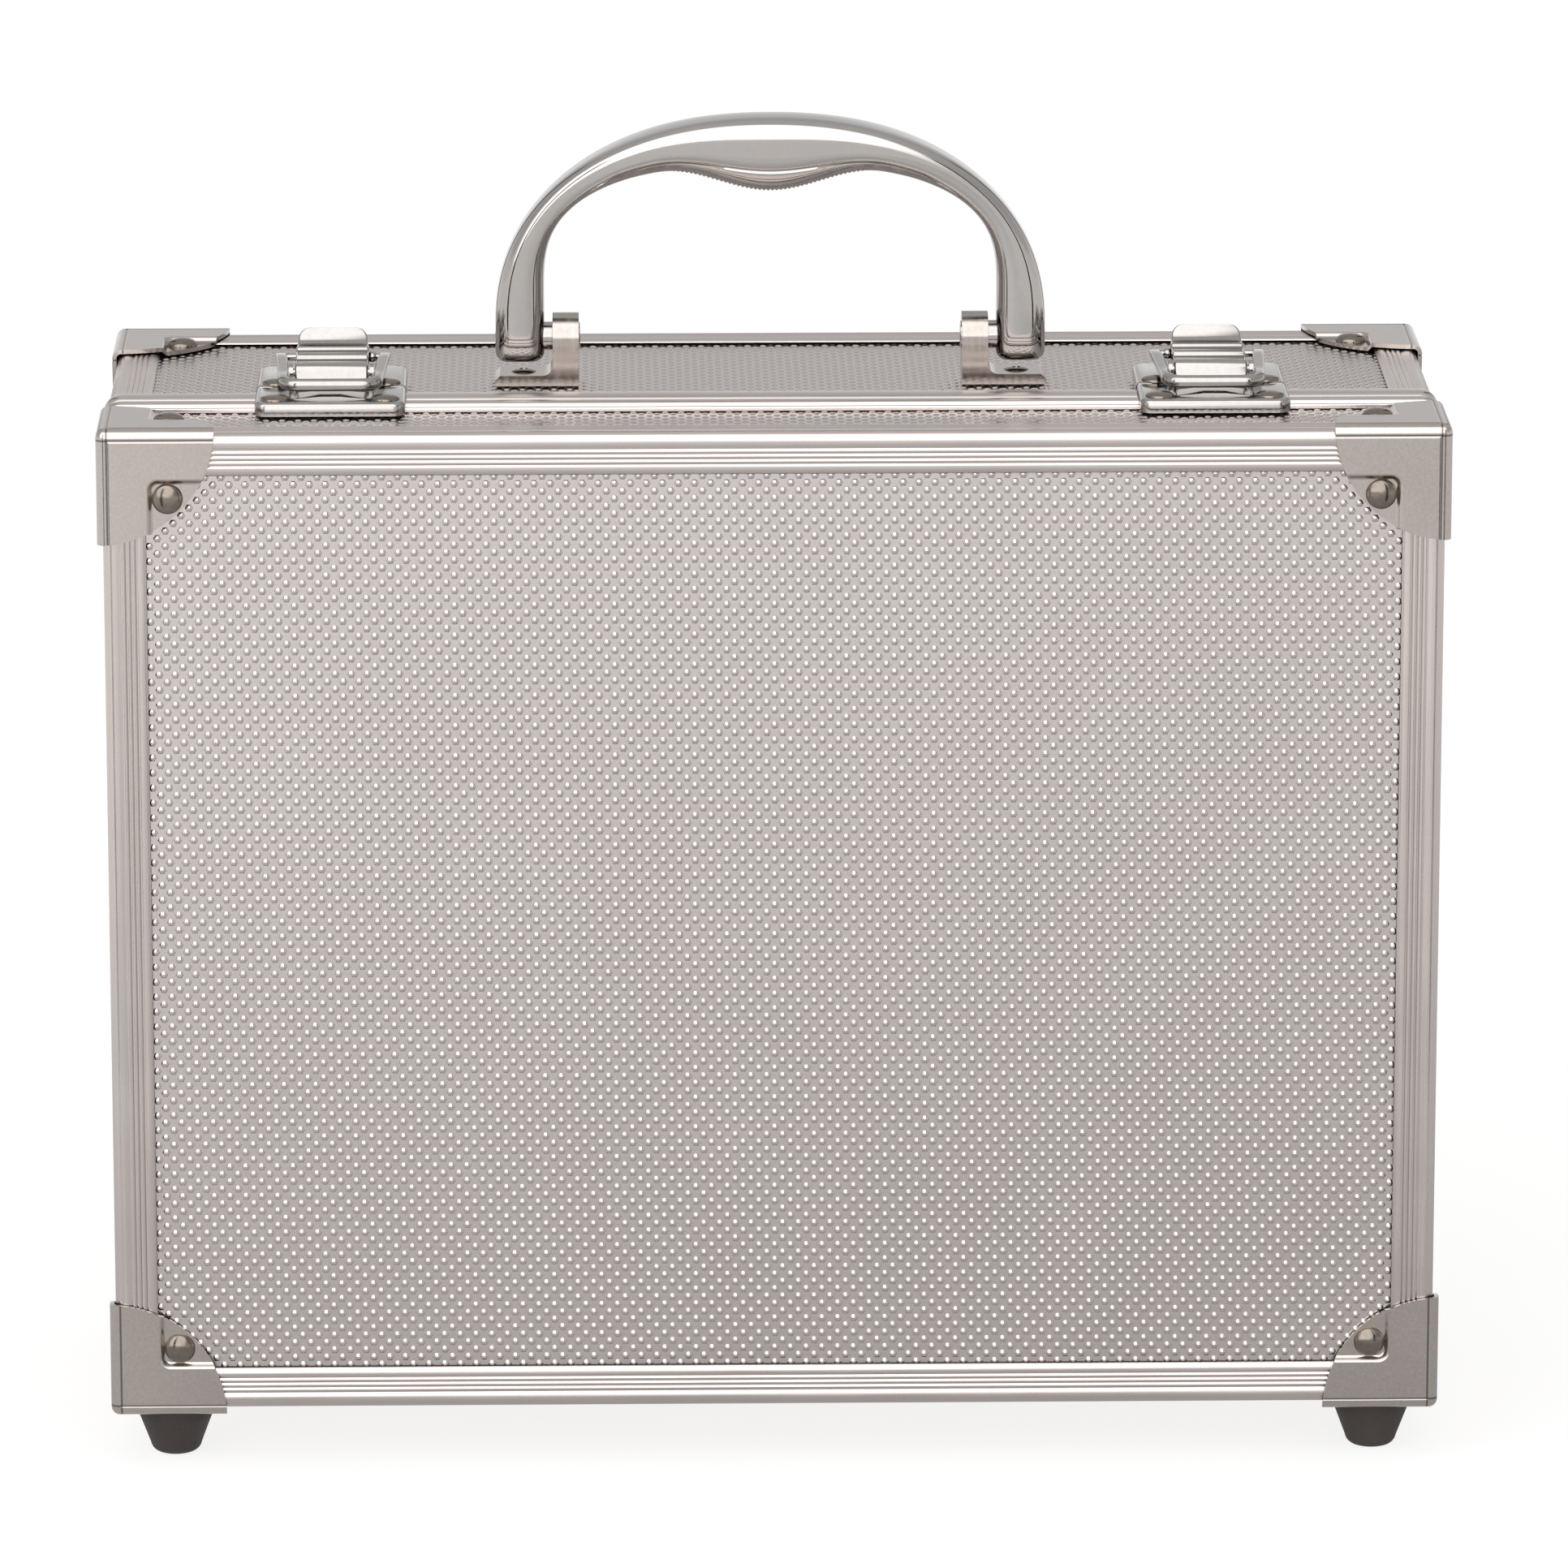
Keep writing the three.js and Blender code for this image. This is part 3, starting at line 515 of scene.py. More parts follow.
def make_boards():
    """The ten boards, each with its dots where the frame and the protectors leave it open."""
    corner_x = SIDE + PROTECTOR_STEP
    corner_z = HALF_HEIGHT + PROTECTOR_STEP
    corner_heights = (MIDDLE - corner_z, MIDDLE + corner_z)
    open_x = (FRAME_ARM - SIDE, SIDE - FRAME_ARM)
    open_z = (BOTTOM + FRAME_ARM, TOP - FRAME_ARM)
    for half, sign in HALVES:
        face = REAR if sign > 0 else FRONT
        corner_y = face + sign * PROTECTOR_STEP
        closure = box(f"{half}_closure_rail")
        open_y = sorted((closure[1 if sign > 0 else 0][1], face - sign * FRAME_ARM))
        for name, normal, u_axis in (("top", Z, X), ("bottom", -Z, -X)):
            corners = [(s * corner_x, corner_y) for s in (-1, 1)]
            opening = tuple(zip(open_x, open_y))
            dimpled_board(f"{half}_{name}_panel", half, normal, u_axis, Y, opening, corners)
        for name, normal, u_axis in (("left", -X, -Y), ("right", X, Y)):
            corners = [(u_axis[1] * corner_y, h) for h in corner_heights]
            opening = tuple(zip(sorted(y * u_axis[1] for y in open_y), open_z))
            dimpled_board(f"{half}_{name}_panel", half, normal, u_axis, Z, opening, corners)
        board = "base_back_panel" if sign > 0 else "lid_front_panel"
        corners = [(s * corner_x, h) for s in (-1, 1) for h in corner_heights]
        dimpled_board(board, half, sign * Y, -sign * X, Z, tuple(zip(open_x, open_z)), corners)


# ---- frame rails and posts -------------------------------------------------------------------

RAIL_ROUND = 2.0
RAIL_THICK = 0.68
GROOVE_FIRST = 3.55  # from the rail's corner
GROOVE_PITCH = 1.08
GROOVE_COUNT = 4
RIB_RADIUS = 0.72
RIB_SHARES = (-0.5, -0.42, -0.3, -0.15, 0, 0.15, 0.3, 0.42)  # points across a rib, in pitches
RAIL_EDGE = ((2.35, 0.012), (2.6, 0.04), (2.9, 0.09), (3.15, 0.15), (3.35, 0.22))  # beside the corner
RAIL_LIP = ((7.9, 0.03), (8.3, 0.12), (8.6, 0.25), (8.85, 0.42), (9, 0.6))
RAIL_FILLET = 1.2
RAIL_SHY = 0.4  # an end that a protector hides stops this far inside it


def arm_profile():
    """One arm of the angle section from its round corner to its lip: (distance, depth) pairs."""
    ribs = []
    for rib in range(GROOVE_COUNT):
        crest = GROOVE_FIRST + (rib + 0.5) * GROOVE_PITCH
        last = rib == GROOVE_COUNT - 1
        for off in (share * GROOVE_PITCH for share in RIB_SHARES if share <= 0 or not last):
            ribs.append((crest + off, RIB_RADIUS - math.sqrt(RIB_RADIUS**2 - off**2)))
    return [*RAIL_EDGE, *ribs, *RAIL_LIP, (FRAME_ARM, RAIL_THICK)]


def angle_section():
    arm = arm_profile()
    corner = arc((RAIL_ROUND, RAIL_ROUND), RAIL_ROUND, 270, 180, 8)
    inner = RAIL_THICK + RAIL_FILLET
    fillet = arc((inner, inner), RAIL_FILLET, 180, 270, 4)
    return [*arm[::-1], *corner, *[(d, s) for s, d in arm], *fillet]


def rail(node, body, axis, corner, inwards, start, end):
    solid = Solid()
    solid.prism(angle_section(), corner, inwards[0], inwards[1], axis, start, end)
    material = ALONG["xyz"[int(np.argmax(axis))]]
    make_piece(solid, node + "_ribbed", material, body, "frame_aluminium", [node], sharp_angle=40)


def make_frame():
    for half, sign in HALVES:
        face = REAR if sign > 0 else FRONT
        for edge, up in EDGES:
            corner = np.array([0, face, TOP if up > 0 else BOTTOM])
            inwards = (-sign * Y, -up * Z)
            rail(f"{half}_{edge}_rail", half, X, corner, inwards, -SIDE + RAIL_SHY, SIDE - RAIL_SHY)
            for side, right in SIDES:
                node = f"{half}_{edge}_{side}_post"
                low, high = box(node)
                corner = np.array([right * SIDE, 0, TOP if up > 0 else BOTTOM])
                rail(node, half, Y, corner, (-right * X, -up * Z), low[1], high[1])
        for side, right in SIDES:
            node = f"{half}_{side}_rail"
            low, high = box(node)
            corner = np.array([right * SIDE, face, 0])
            rail(node, half, Z, corner, (-right * X, -sign * Y), low[2], high[2])


# ---- closure rails ---------------------------------------------------------------------------

CLOSURE_CORNER = 3
CLOSURE_SHEET = 0.95
RIM_WIDTH = 1.8
RIM_INNER = -5.5
RIM_BEVEL = 0.3
BEAD_POWER = 2.4


def closure_loop(y, height):
    """Rounded rectangle round the case, height outside its sides."""
    radius = max(CLOSURE_CORNER + height, 0.3)
    outline = rounded_rectangle(SIDE + height, HALF_HEIGHT + height, [radius] * 4, 10)
    return [np.array([u, y, MIDDLE + v]) for u, v in outline]


def closure_rail(half, away, bead_inset):
    """A flange with a rounded bead outside the boards, and a rim over their ends at the seam."""
    node = f"{half}_closure_rail"
    low, high = box(node)
    seam = low[1] if away > 0 else high[1]
    width = high[1] - low[1]
    bead = high[0] - SIDE
    middle = width / 2
    reach = middle - bead_inset
    profile = [(0, RIM_INNER + RIM_BEVEL), (0, -0.45), (0.13, -0.13), (0.4, 0)]
    for t in np.linspace(-1, 1, 19):
        rise = bead * (1 - abs(t) ** BEAD_POWER) ** (1 / BEAD_POWER)
        profile.append((middle + t * reach, rise))
    profile += [(width - 0.25, 0), (width - 0.07, -0.08), (width, -0.3), (width, -CLOSURE_SHEET)]
    profile += [(RIM_WIDTH, -CLOSURE_SHEET), (RIM_WIDTH, RIM_INNER + RIM_BEVEL)]
    profile += [(RIM_WIDTH - RIM_BEVEL, RIM_INNER), (RIM_BEVEL, RIM_INNER)]
    solid = Solid()
    solid.loft([closure_loop(seam + away * s, h) for s, h in profile], closed=True)
    make_piece(solid, node + "_beaded", ALONG["x"], half, "frame_aluminium", [node], sharp_angle=40)


# ---- corner protectors -----------------------------------------------------------------------

PROTECTOR_SHEET = 0.9
PROTECTOR_ROUND = 1.9
POCKET_FROM = 10.5  # from both edges of the flap
POCKET_CORNER = 2.4
POCKET_SLOPE = 1.2
POCKET_DEPTH = 1.0
RIVET_FROM_EDGES = 14.8
RIVET_RADIUS = 3.25
RIVET_HEIGHT = 1.6
HEAD_EDGE = 0.12
PROTECTOR_LINES = np.unique(np.round(np.concatenate([
    np.linspace(0, PROTECTOR_ROUND, 7),
    EDGE_GROOVE_AT + EDGE_GROOVE_HALF * np.array([-1, -0.5, 0, 0.5, 1]),
    [3, 4.5, 6, 7.5, 9],
    np.arange(POCKET_FROM - 0.25, POCKET_FROM + 3, 0.18),
    np.linspace(POCKET_FROM + 3, PROTECTOR_ARM, 12),
]), 3))


def quarter_disc_cells():
    """Cells of the protector's grid, cut off at the arc that bounds a flap."""
    arm = PROTECTOR_ARM
    cells = []
    for a, b in zip(PROTECTOR_LINES, PROTECTOR_LINES[1:]):
        for c, d in zip(PROTECTOR_LINES, PROTECTOR_LINES[1:]):
            corners = [(a, c), (b, c), (b, d), (a, d)]
            cell = []
            for (u, v), (s, t) in zip(corners, corners[1:] + corners[:1]):
                inside, next_inside = (math.hypot(*p) < arm - 1e-6 for p in ((u, v), (s, t)))
                if inside:
                    cell.append((u, v))
                if inside != next_inside:
                    upright = (u, math.sqrt(max(arm**2 - u**2, 0)))
                    level = (math.sqrt(max(arm**2 - v**2, 0)), v)
                    cell.append(upright if u == s else level)
            if len(cell) > 2:
                cells.append(cell)
    return cells


def pocket(u, v):
    """Depth of the flap at (u, v): it steps down to the board inside an L-shaped line."""
    centre = POCKET_FROM + POCKET_CORNER
    left = centre - u
    low = centre - v
    inside = POCKET_CORNER - (math.hypot(left, low) if left > 0 and low > 0 else max(left, low))
    return POCKET_DEPTH * ease(clamp(inside / POCKET_SLOPE))


def edge_groove(u, v):
    """Depth of the line that runs along both edges of a flap and meets at its corner."""
    away = abs(min(u, v) - EDGE_GROOVE_AT) / EDGE_GROOVE_HALF
    return EDGE_GROOVE_DEPTH * max(1 - away, 0)


def protector_surface(pocketed):
    """Outer surface of a protector in a corner of its own, whose axes point inwards."""
    places = {}
    points = []
    normals = []
    faces = []
    for axis in range(3):
        for cell in quarter_disc_cells():
            face = []
            for u, v in cell:
                sharp = np.zeros(3)
                sharp[(axis + 1) % 3] = u
                sharp[(axis + 2) % 3] = v
                inner = np.maximum(sharp, PROTECTOR_ROUND)
                normal = sharp - inner
                normal /= np.linalg.norm(normal)
                point = inner + PROTECTOR_ROUND * normal
                key = tuple(np.round(point, 4))
                if key not in places:
                    places[key] = len(points)
                    depth = edge_groove(u, v) + (pocket(u, v) if axis in pocketed else 0)
                    points.append(point - depth * normal)
                    normals.append(normal)
                if places[key] not in face:
                    face.append(places[key])
            if len(face) > 2:
                faces.append(face)
    return points, normals, faces


def domed_head(solid, centre, axis, radius, height):
    """A rivet head: a dome with a small upright edge."""
    profile = [(radius * 0.7, -0.25), (radius, -0.2), (radius, HEAD_EDGE)]
    for turn in np.radians((12, 25, 38, 51, 64, 77)):
        profile.append((radius * math.cos(turn), HEAD_EDGE + (height - HEAD_EDGE) * math.sin(turn)))
    profile.append((radius * 0.07, height))
    solid.lathe(profile, centre, axis, 32)


def make_protectors():
    for half, back in HALVES:
        for edge, up in EDGES:
            pocketed = (0, 1, 2) if up > 0 else (0, 1)
            points, normals, faces = protector_surface(pocketed)
            for side, right in SIDES:
                node = f"{half}_protector_{edge}_{side}"
                low, high = box(node)
                away = np.array([right, back, up])
                corner = np.where(away > 0, high, low)
                solid = Solid()
                outer = [corner - away * p for p in points]
                solid.thicken(outer, [-away * n for n in normals], faces, PROTECTOR_SHEET)
                make_piece(solid, node + "_pressed", STEEL, half, "protector_steel", [node],
                           sharp_angle=48, bevel=0.16)
                rivets = Solid()
                for axis in pocketed:
                    normal = np.zeros(3)
                    normal[axis] = away[axis]
                    seat = corner - away * RIVET_FROM_EDGES
                    seat[axis] = corner[axis] - away[axis] * POCKET_DEPTH
                    domed_head(rivets, seat, normal, RIVET_RADIUS, RIVET_HEIGHT)
                make_piece(rivets, node + "_rivets", RIVET, half, "protector_steel")


# ---- feet ------------------------------------------------------------------------------------

FOOT_TOP_RADIUS = 7.9
FOOT_BOTTOM_RADIUS = 5.5
FOOT_ROUNDING = 2.2


def make_feet():
    """Tapered feet with a round lower edge and a short upright collar."""
    top = FOOT_TOP_RADIUS
    bottom = FOOT_BOTTOM_RADIUS
    flat = bottom - FOOT_ROUNDING
    ceiling = BOTTOM - PROTECTOR_STEP
    profile = [(bottom - 3.2, 0.35), (bottom - 2.8, 0.06), (flat, 0)]
    profile += arc((flat, FOOT_ROUNDING), FOOT_ROUNDING, 275, 350, 7)
    profile += [(bottom + 0.1, FOOT_ROUNDING), (top - 0.45, 7.2), (top - 0.1, 8.1), (top, 8.8)]
    profile += [(top, ceiling - 0.5), (top - 0.15, ceiling - 0.15), (top - 0.5, ceiling)]
    for half, _ in HALVES:
        for side, _ in SIDES:
            node = f"{half}_foot_{side}"
            centre = sum(box(node)) / 2
            solid = Solid()
            solid.lathe(profile, centre * (1, 1, 0), Z, 48)
            make_piece(solid, node + "_moulded", RUBBER, half, "foot_rubber", [node], sharp_angle=50)


# ---- handle ----------------------------------------------------------------------------------

OUTER_ARCH = {"half": 58.5, "low": 12, "height": 44.9, "power": 2.2}
INNER_ARCH = {"half": 48, "low": 20, "height": 26.3, "power": 2.8}
GRIP_BULGE = 5.5
GRIP_HALF = 24
HANDLE_END = 5.6  # radius of the arm's end about its pin, seen from the side
HANDLE_CORNER = 2.6
ARM_POWER = 3.0  # squareness of the arms' section
GRIP_POWER = 1.4  # and how much squarer the grip is
GRIP_DEPTH = 7.3
HANDLE_QUARTER = 16  # steps in a quarter of its section
GRIP_LINED_HALF = (30, 42)  # the lined underside fades out between these distances from the middle
GRIP_SECTION = (  # the lined underside, from the side to the middle: (share of depth, share of thickness)
    (1, 0), (0.998, 0.07), (0.992, 0.14), (0.98, 0.21), (0.965, 0.28), (0.94, 0.34), (0.885, 0.37),
    (0.925, 0.42), (0.9, 0.5), (0.83, 0.62), (0.75, 0.74), (0.66, 0.84), (0.58, 0.9), (0.46, 0.945),
    (0.31, 0.975), (0.155, 0.995), (0, 1),
)
RIB_PITCH = 0.9
RIB_HEIGHT = 0.16
RIBBED_HALF = 21


def arch_height(arch, x):
    share = min(abs(x) / arch["half"], 1)
    return TOP + arch["low"] + arch["height"] * (1 - share ** arch["power"]) ** (1 / arch["power"])


def grip_underside(x):
    share = min(abs(x) / GRIP_HALF, 1)
    return arch_height(INNER_ARCH, x) - GRIP_BULGE / 2 * (1 + math.cos(math.pi * share))


def arm_stations():
    """Stations of the left arm, from its round foot to where the arches begin."""
    pin_height = pivot("handle_hinge")[2]
    middle = -(OUTER_ARCH["half"] + INNER_ARCH["half"]) / 2
    half = (OUTER_ARCH["half"] - INNER_ARCH["half"]) / 2
    stations = []
    for share in [*(1 - np.cos(np.linspace(0.12, math.pi / 2, 9))), *np.linspace(1.1, 2.6, 6)]:
        gap = HANDLE_CORNER * max(1 - share, 0)
        reach = half - HANDLE_CORNER + math.sqrt(HANDLE_CORNER**2 - gap**2)
        z = pin_height - HANDLE_END + share * HANDLE_CORNER
        depth = math.sqrt(max(HANDLE_END**2 - max(pin_height - z, 0) ** 2, 0.01))
        stations.append(((middle - reach, z), (middle + reach, z), depth, ARM_POWER, 0))
    xs = [-arch["half"] for arch in (OUTER_ARCH, INNER_ARCH)]
    tops = [arch_height(arch, arch["half"]) for arch in (OUTER_ARCH, INNER_ARCH)]
    for share in (0.2, 0.4, 0.6, 0.8):
        ends = [(x, z + share * (top - z)) for x, top in zip(xs, tops)]
        stations.append((*ends, HANDLE_END, ARM_POWER, 0))
    return stations


def arch_stations():
    """Stations of the left half of the arch, closer together where its underside is ribbed."""
    coarse = [-math.cos(t) for t in np.linspace(0, math.pi / 2, 40)]
    fine = np.arange(-RIBBED_HALF, 0, RIB_PITCH / 4) / INNER_ARCH["half"]
    stations = []
    for x in [*(x for x in coarse if x < fine[0]), *fine]:
        over = x * OUTER_ARCH["half"]
        under = x * INNER_ARCH["half"]
        share = min((1 - abs(x)) / 0.6, 1)
        depth = HANDLE_END + (GRIP_DEPTH - HANDLE_END) * ease(share)
        rib = RIB_HEIGHT * clamp((RIBBED_HALF - abs(under)) / 3) * math.cos(2 * math.pi * under / RIB_PITCH)
        ends = ((over, arch_height(OUTER_ARCH, over)), (under, grip_underside(under)))
        stations.append((*ends, depth, ARM_POWER + GRIP_POWER * share, rib))
    return stations


def handle_stations():
    """(outer point, inner point, half depth, squareness, ribbing) from one foot to the other."""
    left = [*arm_stations(), *arch_stations()]
    ends = ((0, arch_height(OUTER_ARCH, 0)), (0, grip_underside(0)))
    crown = (*ends, GRIP_DEPTH, ARM_POWER + GRIP_POWER, RIB_HEIGHT)
    right = [((-o[0], o[1]), (-i[0], i[1]), *others) for o, i, *others in left[::-1]]
    return [*left, crown, *right]


def handle_ring(outer, inner, depth, power, rib):
    """Section of the handle, whose underside turns into the lined grip."""
    centre = (outer + inner) / 2
    radial = (outer - inner) / 2
    start, end = GRIP_LINED_HALF
    lined = clamp(1 - (abs(inner[0]) - start) / (end - start))
    if outer[2] - TOP <= OUTER_ARCH["low"] + 8:
        lined = 0
    ring = []
    for k in range(4 * HANDLE_QUARTER):
        turn = math.pi / 2 * k / HANDLE_QUARTER
        out, aside = superellipse(math.cos(turn), math.sin(turn), power)
        step = HANDLE_QUARTER - abs(k - 2 * HANDLE_QUARTER)
        if step >= 0:
            flat_side, flat_out = GRIP_SECTION[step]
            aside += lined * (math.copysign(flat_side, math.sin(turn)) - aside)
            out += lined * (-flat_out - out)
            out += rib * clamp((step - 10) / 2) / max(np.linalg.norm(radial), 1)
        ring.append(centre + radial * out + depth * aside * Y)
    return ring


def make_handle():
    y = pivot("handle_hinge")[1]
    solid = Solid()
    solid.loft([
        handle_ring(np.array([o[0], y, o[1]]), np.array([i[0], y, i[1]]), *others)
        for o, i, *others in handle_stations()
    ])
    make_piece(solid, "handle_cast", CHROME, "handle", "handle_chrome", ["handle"], sharp_angle=60)


# ---- handle brackets -------------------------------------------------------------------------

BRACKET_POST = 5.6
BRACKET_PLATE = 1.65  # above the top of the case
BRACKET_FILLET = 2.2
BRACKET_CHAMFER = 1.1
BRACKET_GAP = 0.12  # under it
SCREW = (
    (1.2, -0.3), (2.7, -0.2), (2.7, 0.02), (2.45, 0.2), (1.9, 0.38), (1.1, 0.5), (0.9, 0.5), (0.75, 0.1),
    (0.2, 0.05),
)  # (radius, height)
PIN_PROUD = 0.3  # the pin stands this far out of the bracket, on the side away from the handle


def turned_pin(node, axis, end, material, slot, segments=20, proud=0):
    """A pin along X through a point of its axis. end gives (radius, distance) pairs of one end."""
    low, high = box(node)
    length = high[0] - low[0] + abs(proud)
    solid = Solid()
    profile = [*end, *((r, length - d) for r, d in end[::-1])]
    solid.lathe(profile, np.array([low[0] - max(proud, 0), axis[1], axis[2]]), X, segments)
    make_piece(solid, node + "_turned", material, "base", slot, [node])


def make_bracket(side, right):
    """An upright post with a round top, a fillet, and a plate that is screwed down."""
    node = f"handle_bracket_{side}"
    low, high = box(node)
    pin = pivot("handle_hinge")
    inner, outer = (low[0], high[0]) if right > 0 else (-high[0], -low[0])
    post = inner + BRACKET_POST
    plate = TOP + BRACKET_PLATE
    half = (high[1] - low[1]) / 2
    levels = np.linspace(low[2] + BRACKET_GAP, pin[2], 6)[:-1]
    section = [*((half, z) for z in levels), *arc((0, pin[2]), half, 0, 180, 24)]
    section += [(-half, z) for z in levels[::-1]]
    stations = [(inner, high[2]), (post, high[2])]
    for distance in BRACKET_FILLET * (1 - np.cos(np.linspace(0, math.pi / 2, 7))):
        gap = BRACKET_FILLET - max(distance, 1e-3)
        ceiling = plate + BRACKET_FILLET - math.sqrt(BRACKET_FILLET**2 - gap**2)
        stations.append((post + distance, ceiling))
    stations += [(outer - BRACKET_CHAMFER, plate), (outer, plate - BRACKET_CHAMFER)]
    solid = Solid()
    solid.loft([
        [np.array([right * x, pin[1] + y, min(z, ceiling)]) for y, z in section] for x, ceiling in stations
    ])
    make_piece(solid, node + "_cast", NICKEL, "base", "bracket_nickel", [node], sharp_angle=38, bevel=0.4)
    screw = Solid()
    screw.lathe(SCREW, np.array([right * (post + outer) / 2, pin[1], plate]), Z, 32)
    make_piece(screw, f"handle_bracket_screw_{side}", RIVET, "base", "bracket_nickel")
    low, high = box(f"handle_pin_{side}")
    radius = (high[2] - low[2]) / 2
    end = ((radius - 0.5, 0), (radius - 0.15, 0.12), (radius, 0.5))
    proud = right * PIN_PROUD
    turned_pin(f"handle_pin_{side}", (low + high) / 2, end, LATCH, "bracket_nickel", 40, proud)


# ---- latches ---------------------------------------------------------------------------------

LATCH_SHEET = 0.8
LATCH_BEND = 0.9
PLATE_HEIGHT = 2.8
RAIL_CLEAR = 0.2  # from a plate's bent edges to the closure rails
LATCH_RIVET = (3.05, 0.95)  # radius and height of its head
LATCH_RIVET_OUT = 11.6
CATCH_RIVET_Y = FRONT + 24.7
PLATE_RIVET_Y = FRONT + 41
EAR = {"half": 1.9, "foot": 2.9, "inner": 8.1, "outer": 9.0}
LATCH_PIN_END = ((0.6, 0), (0.88, 0.2))
LEVER_HALF = 7.7
LEVER_SHEET = 0.85
LEVER_EDGE = 0.45  # radius of its edges
TAB_CORNER = 2.6
LEVER_FRONT = (
    (41.6, 2.75), (40.6, 2.45), (39.4, 2.35), (38.6, 2.75), (38.1, 3.2), (38.2, 3.9), (38.55, 4.8),
    (39, 5.75), (39.6, 6.35), (40.4, 6.55),
)  # (behind the front, above the top)
LEVER_TOP = (
    (41.3, 6.52), (42.4, 6.3), (44.4, 6.2), (45.5, 6.25), (45.85, 6.5), (46.1, 6.98), (46.6, 7.12),
    (49, 6.86), (51.2, 6.85), (51.8, 7.05), (52.1, 7.5), (52.7, 7.72), (54.4, 7.6), (55.6, 7.95),
    (56.5, 8.8), (57.2, 9.8), (57.7, 10.8),
)
CHEEK_FROM = 42.5
CHEEK_LOW = 3.0
BAIL_FRONT_HALF = 10.9
BAIL_REAR_HALF = 12.2
BAIL_STRIP = (2.4, 1.9)  # width and height
BAIL_BAR = 2.7
BAIL_TURN = 3.2
BAIL_ENDS = (0.55, 0.88)  # share of its height at its last sections
BAIL_PIN = 0.8
HOOK_OUTLINE = ((-7.4, -0.3), (-7.4, 0.08), (-2.3, 0.58), (2.3, 0.58), (7.4, 0.08), (7.4, -0.3))


def pressed_plate(node, centre_x, front_radius, rear_radius):
    """A flat sheet whose edges are bent down to the boards, but not where a closure rail passes."""
    low, high = box(node)
    half_u, half_v, _ = (high - low) / 2
    middle = (low[1] + high[1]) / 2
    surface = box("latch_plate_left")[0][2] + PLATE_HEIGHT
    under = surface - LATCH_SHEET
    rail_low = box("lid_closure_rail")[0][1] - RAIL_CLEAR
    rail_high = box("base_closure_rail")[1][1] + RAIL_CLEAR
    cuts = [y - middle for y in (rail_low, rail_high) if low[1] < y < high[1]]
    splits = sorted(c + d for c in cuts for d in (-0.04, 0.04))

    def outline(inset):
        radii = [max(r - inset, 0.05) for r in (front_radius, rear_radius, rear_radius, front_radius)]
        points = rounded_rectangle(half_u - inset, half_v - inset, radii, 8)
        right = [(half_u - inset, v) for v in splits]
        left = [(inset - half_u, v) for v in splits[::-1]]
        return points[:9] + right + points[9:27] + left + points[27:]

    rings = []
    for turn in np.radians(np.linspace(0, 90, 5)):
        z = max(surface - LATCH_BEND * (1 - math.cos(turn)), under + 0.02)
        rings.append([(u, v, z) for u, v in outline(LATCH_BEND * (1 - math.sin(turn)))])
    floors = [under - 0.06 if rail_low <= v + middle <= rail_high else low[2] for _, v in outline(0)]
    for inset, lift in ((0, 0), (LATCH_SHEET, 0.01)):
        rings.append([(u, v, floor + lift) for (u, v), floor in zip(outline(inset), floors)])
    rings.append([(u, v, under) for u, v in outline(LATCH_SHEET)])
    solid = Solid()
    solid.loft([[np.array([centre_x + u, middle + v, z]) for u, v, z in ring] for ring in rings])
    return solid, surface


def make_pressed(solid, node, body, x, rivet_y, surface):
    """A finished plate and its two rivets."""
    make_piece(solid, node + "_pressed", LATCH, body, "latch_steel", [node], sharp_angle=40, bevel=0.12)
    rivets = Solid()
    for sign in (-1, 1):
        domed_head(rivets, np.array([x + sign * LATCH_RIVET_OUT, rivet_y, surface]), Z, *LATCH_RIVET)
    make_piece(rivets, node + "_rivets", RIVET, body, "latch_steel")


def directions(path):
    """Unit tangents of a path."""
    tangent = np.gradient(path, axis=0)
    return tangent / np.linalg.norm(tangent, axis=1)[:, None]


def lever_ring(x, point, normal, half, cheek):
    """Section of the lever across its path: a top sheet with a cheek at either side."""
    r = LEVER_EDGE
    t = LEVER_SHEET
    corner = [(half - r + r * math.cos(a), -r + r * math.sin(a)) for a in np.radians((0, 30, 60, 90))]
    right = [(half, -cheek), *corner]
    left = [(-u, v) for u, v in reversed(right)]
    inside = [(t - half, -cheek), (t - half, -t), (half - t, -t), (half - t, -cheek)]
    return [np.array([x + u, *(point + normal * v)]) for u, v in [*right, *left, *inside]]


def make_lever(side, x):
    """The lever: a curl in front, two flats with a step between, and a tab that turns up behind."""
    curl = curve_through([(FRONT + a, TOP + b) for a, b in LEVER_FRONT], 2)
    back = curve_through([(FRONT + a, TOP + b) for a, b in LEVER_TOP], 4)
    path = np.array([*curl, *back])
    lengths = np.concatenate([[0], np.cumsum(np.linalg.norm(np.diff(path, axis=0), axis=1))])
    rings = []
    for k, (point, along) in enumerate(zip(path, directions(path))):
        behind = point[0] - FRONT
        left = lengths[-1] - lengths[k]
        half = LEVER_HALF
        cheek = LEVER_SHEET + 0.02
        if k >= len(curl):
            half -= 0.3 * clamp((behind - 54) / 2)
            if behind > CHEEK_FROM:
                cheek = max(cheek, (point[1] - TOP - CHEEK_LOW) * clamp((57.0 - behind) / 1.6))
            if left < TAB_CORNER:
                half += math.sqrt(max(TAB_CORNER**2 - (TAB_CORNER - left) ** 2, 0.02)) - TAB_CORNER
        rings.append(lever_ring(x, point, np.array([-along[1], along[0]]), half, cheek))
    solid = Solid()
    solid.loft(rings)
    node = f"latch_lever_{side}"
    make_piece(solid, node + "_pressed", LATCH, f"lever_{side}", "latch_steel", [node],
               sharp_angle=45, bevel=0.1)


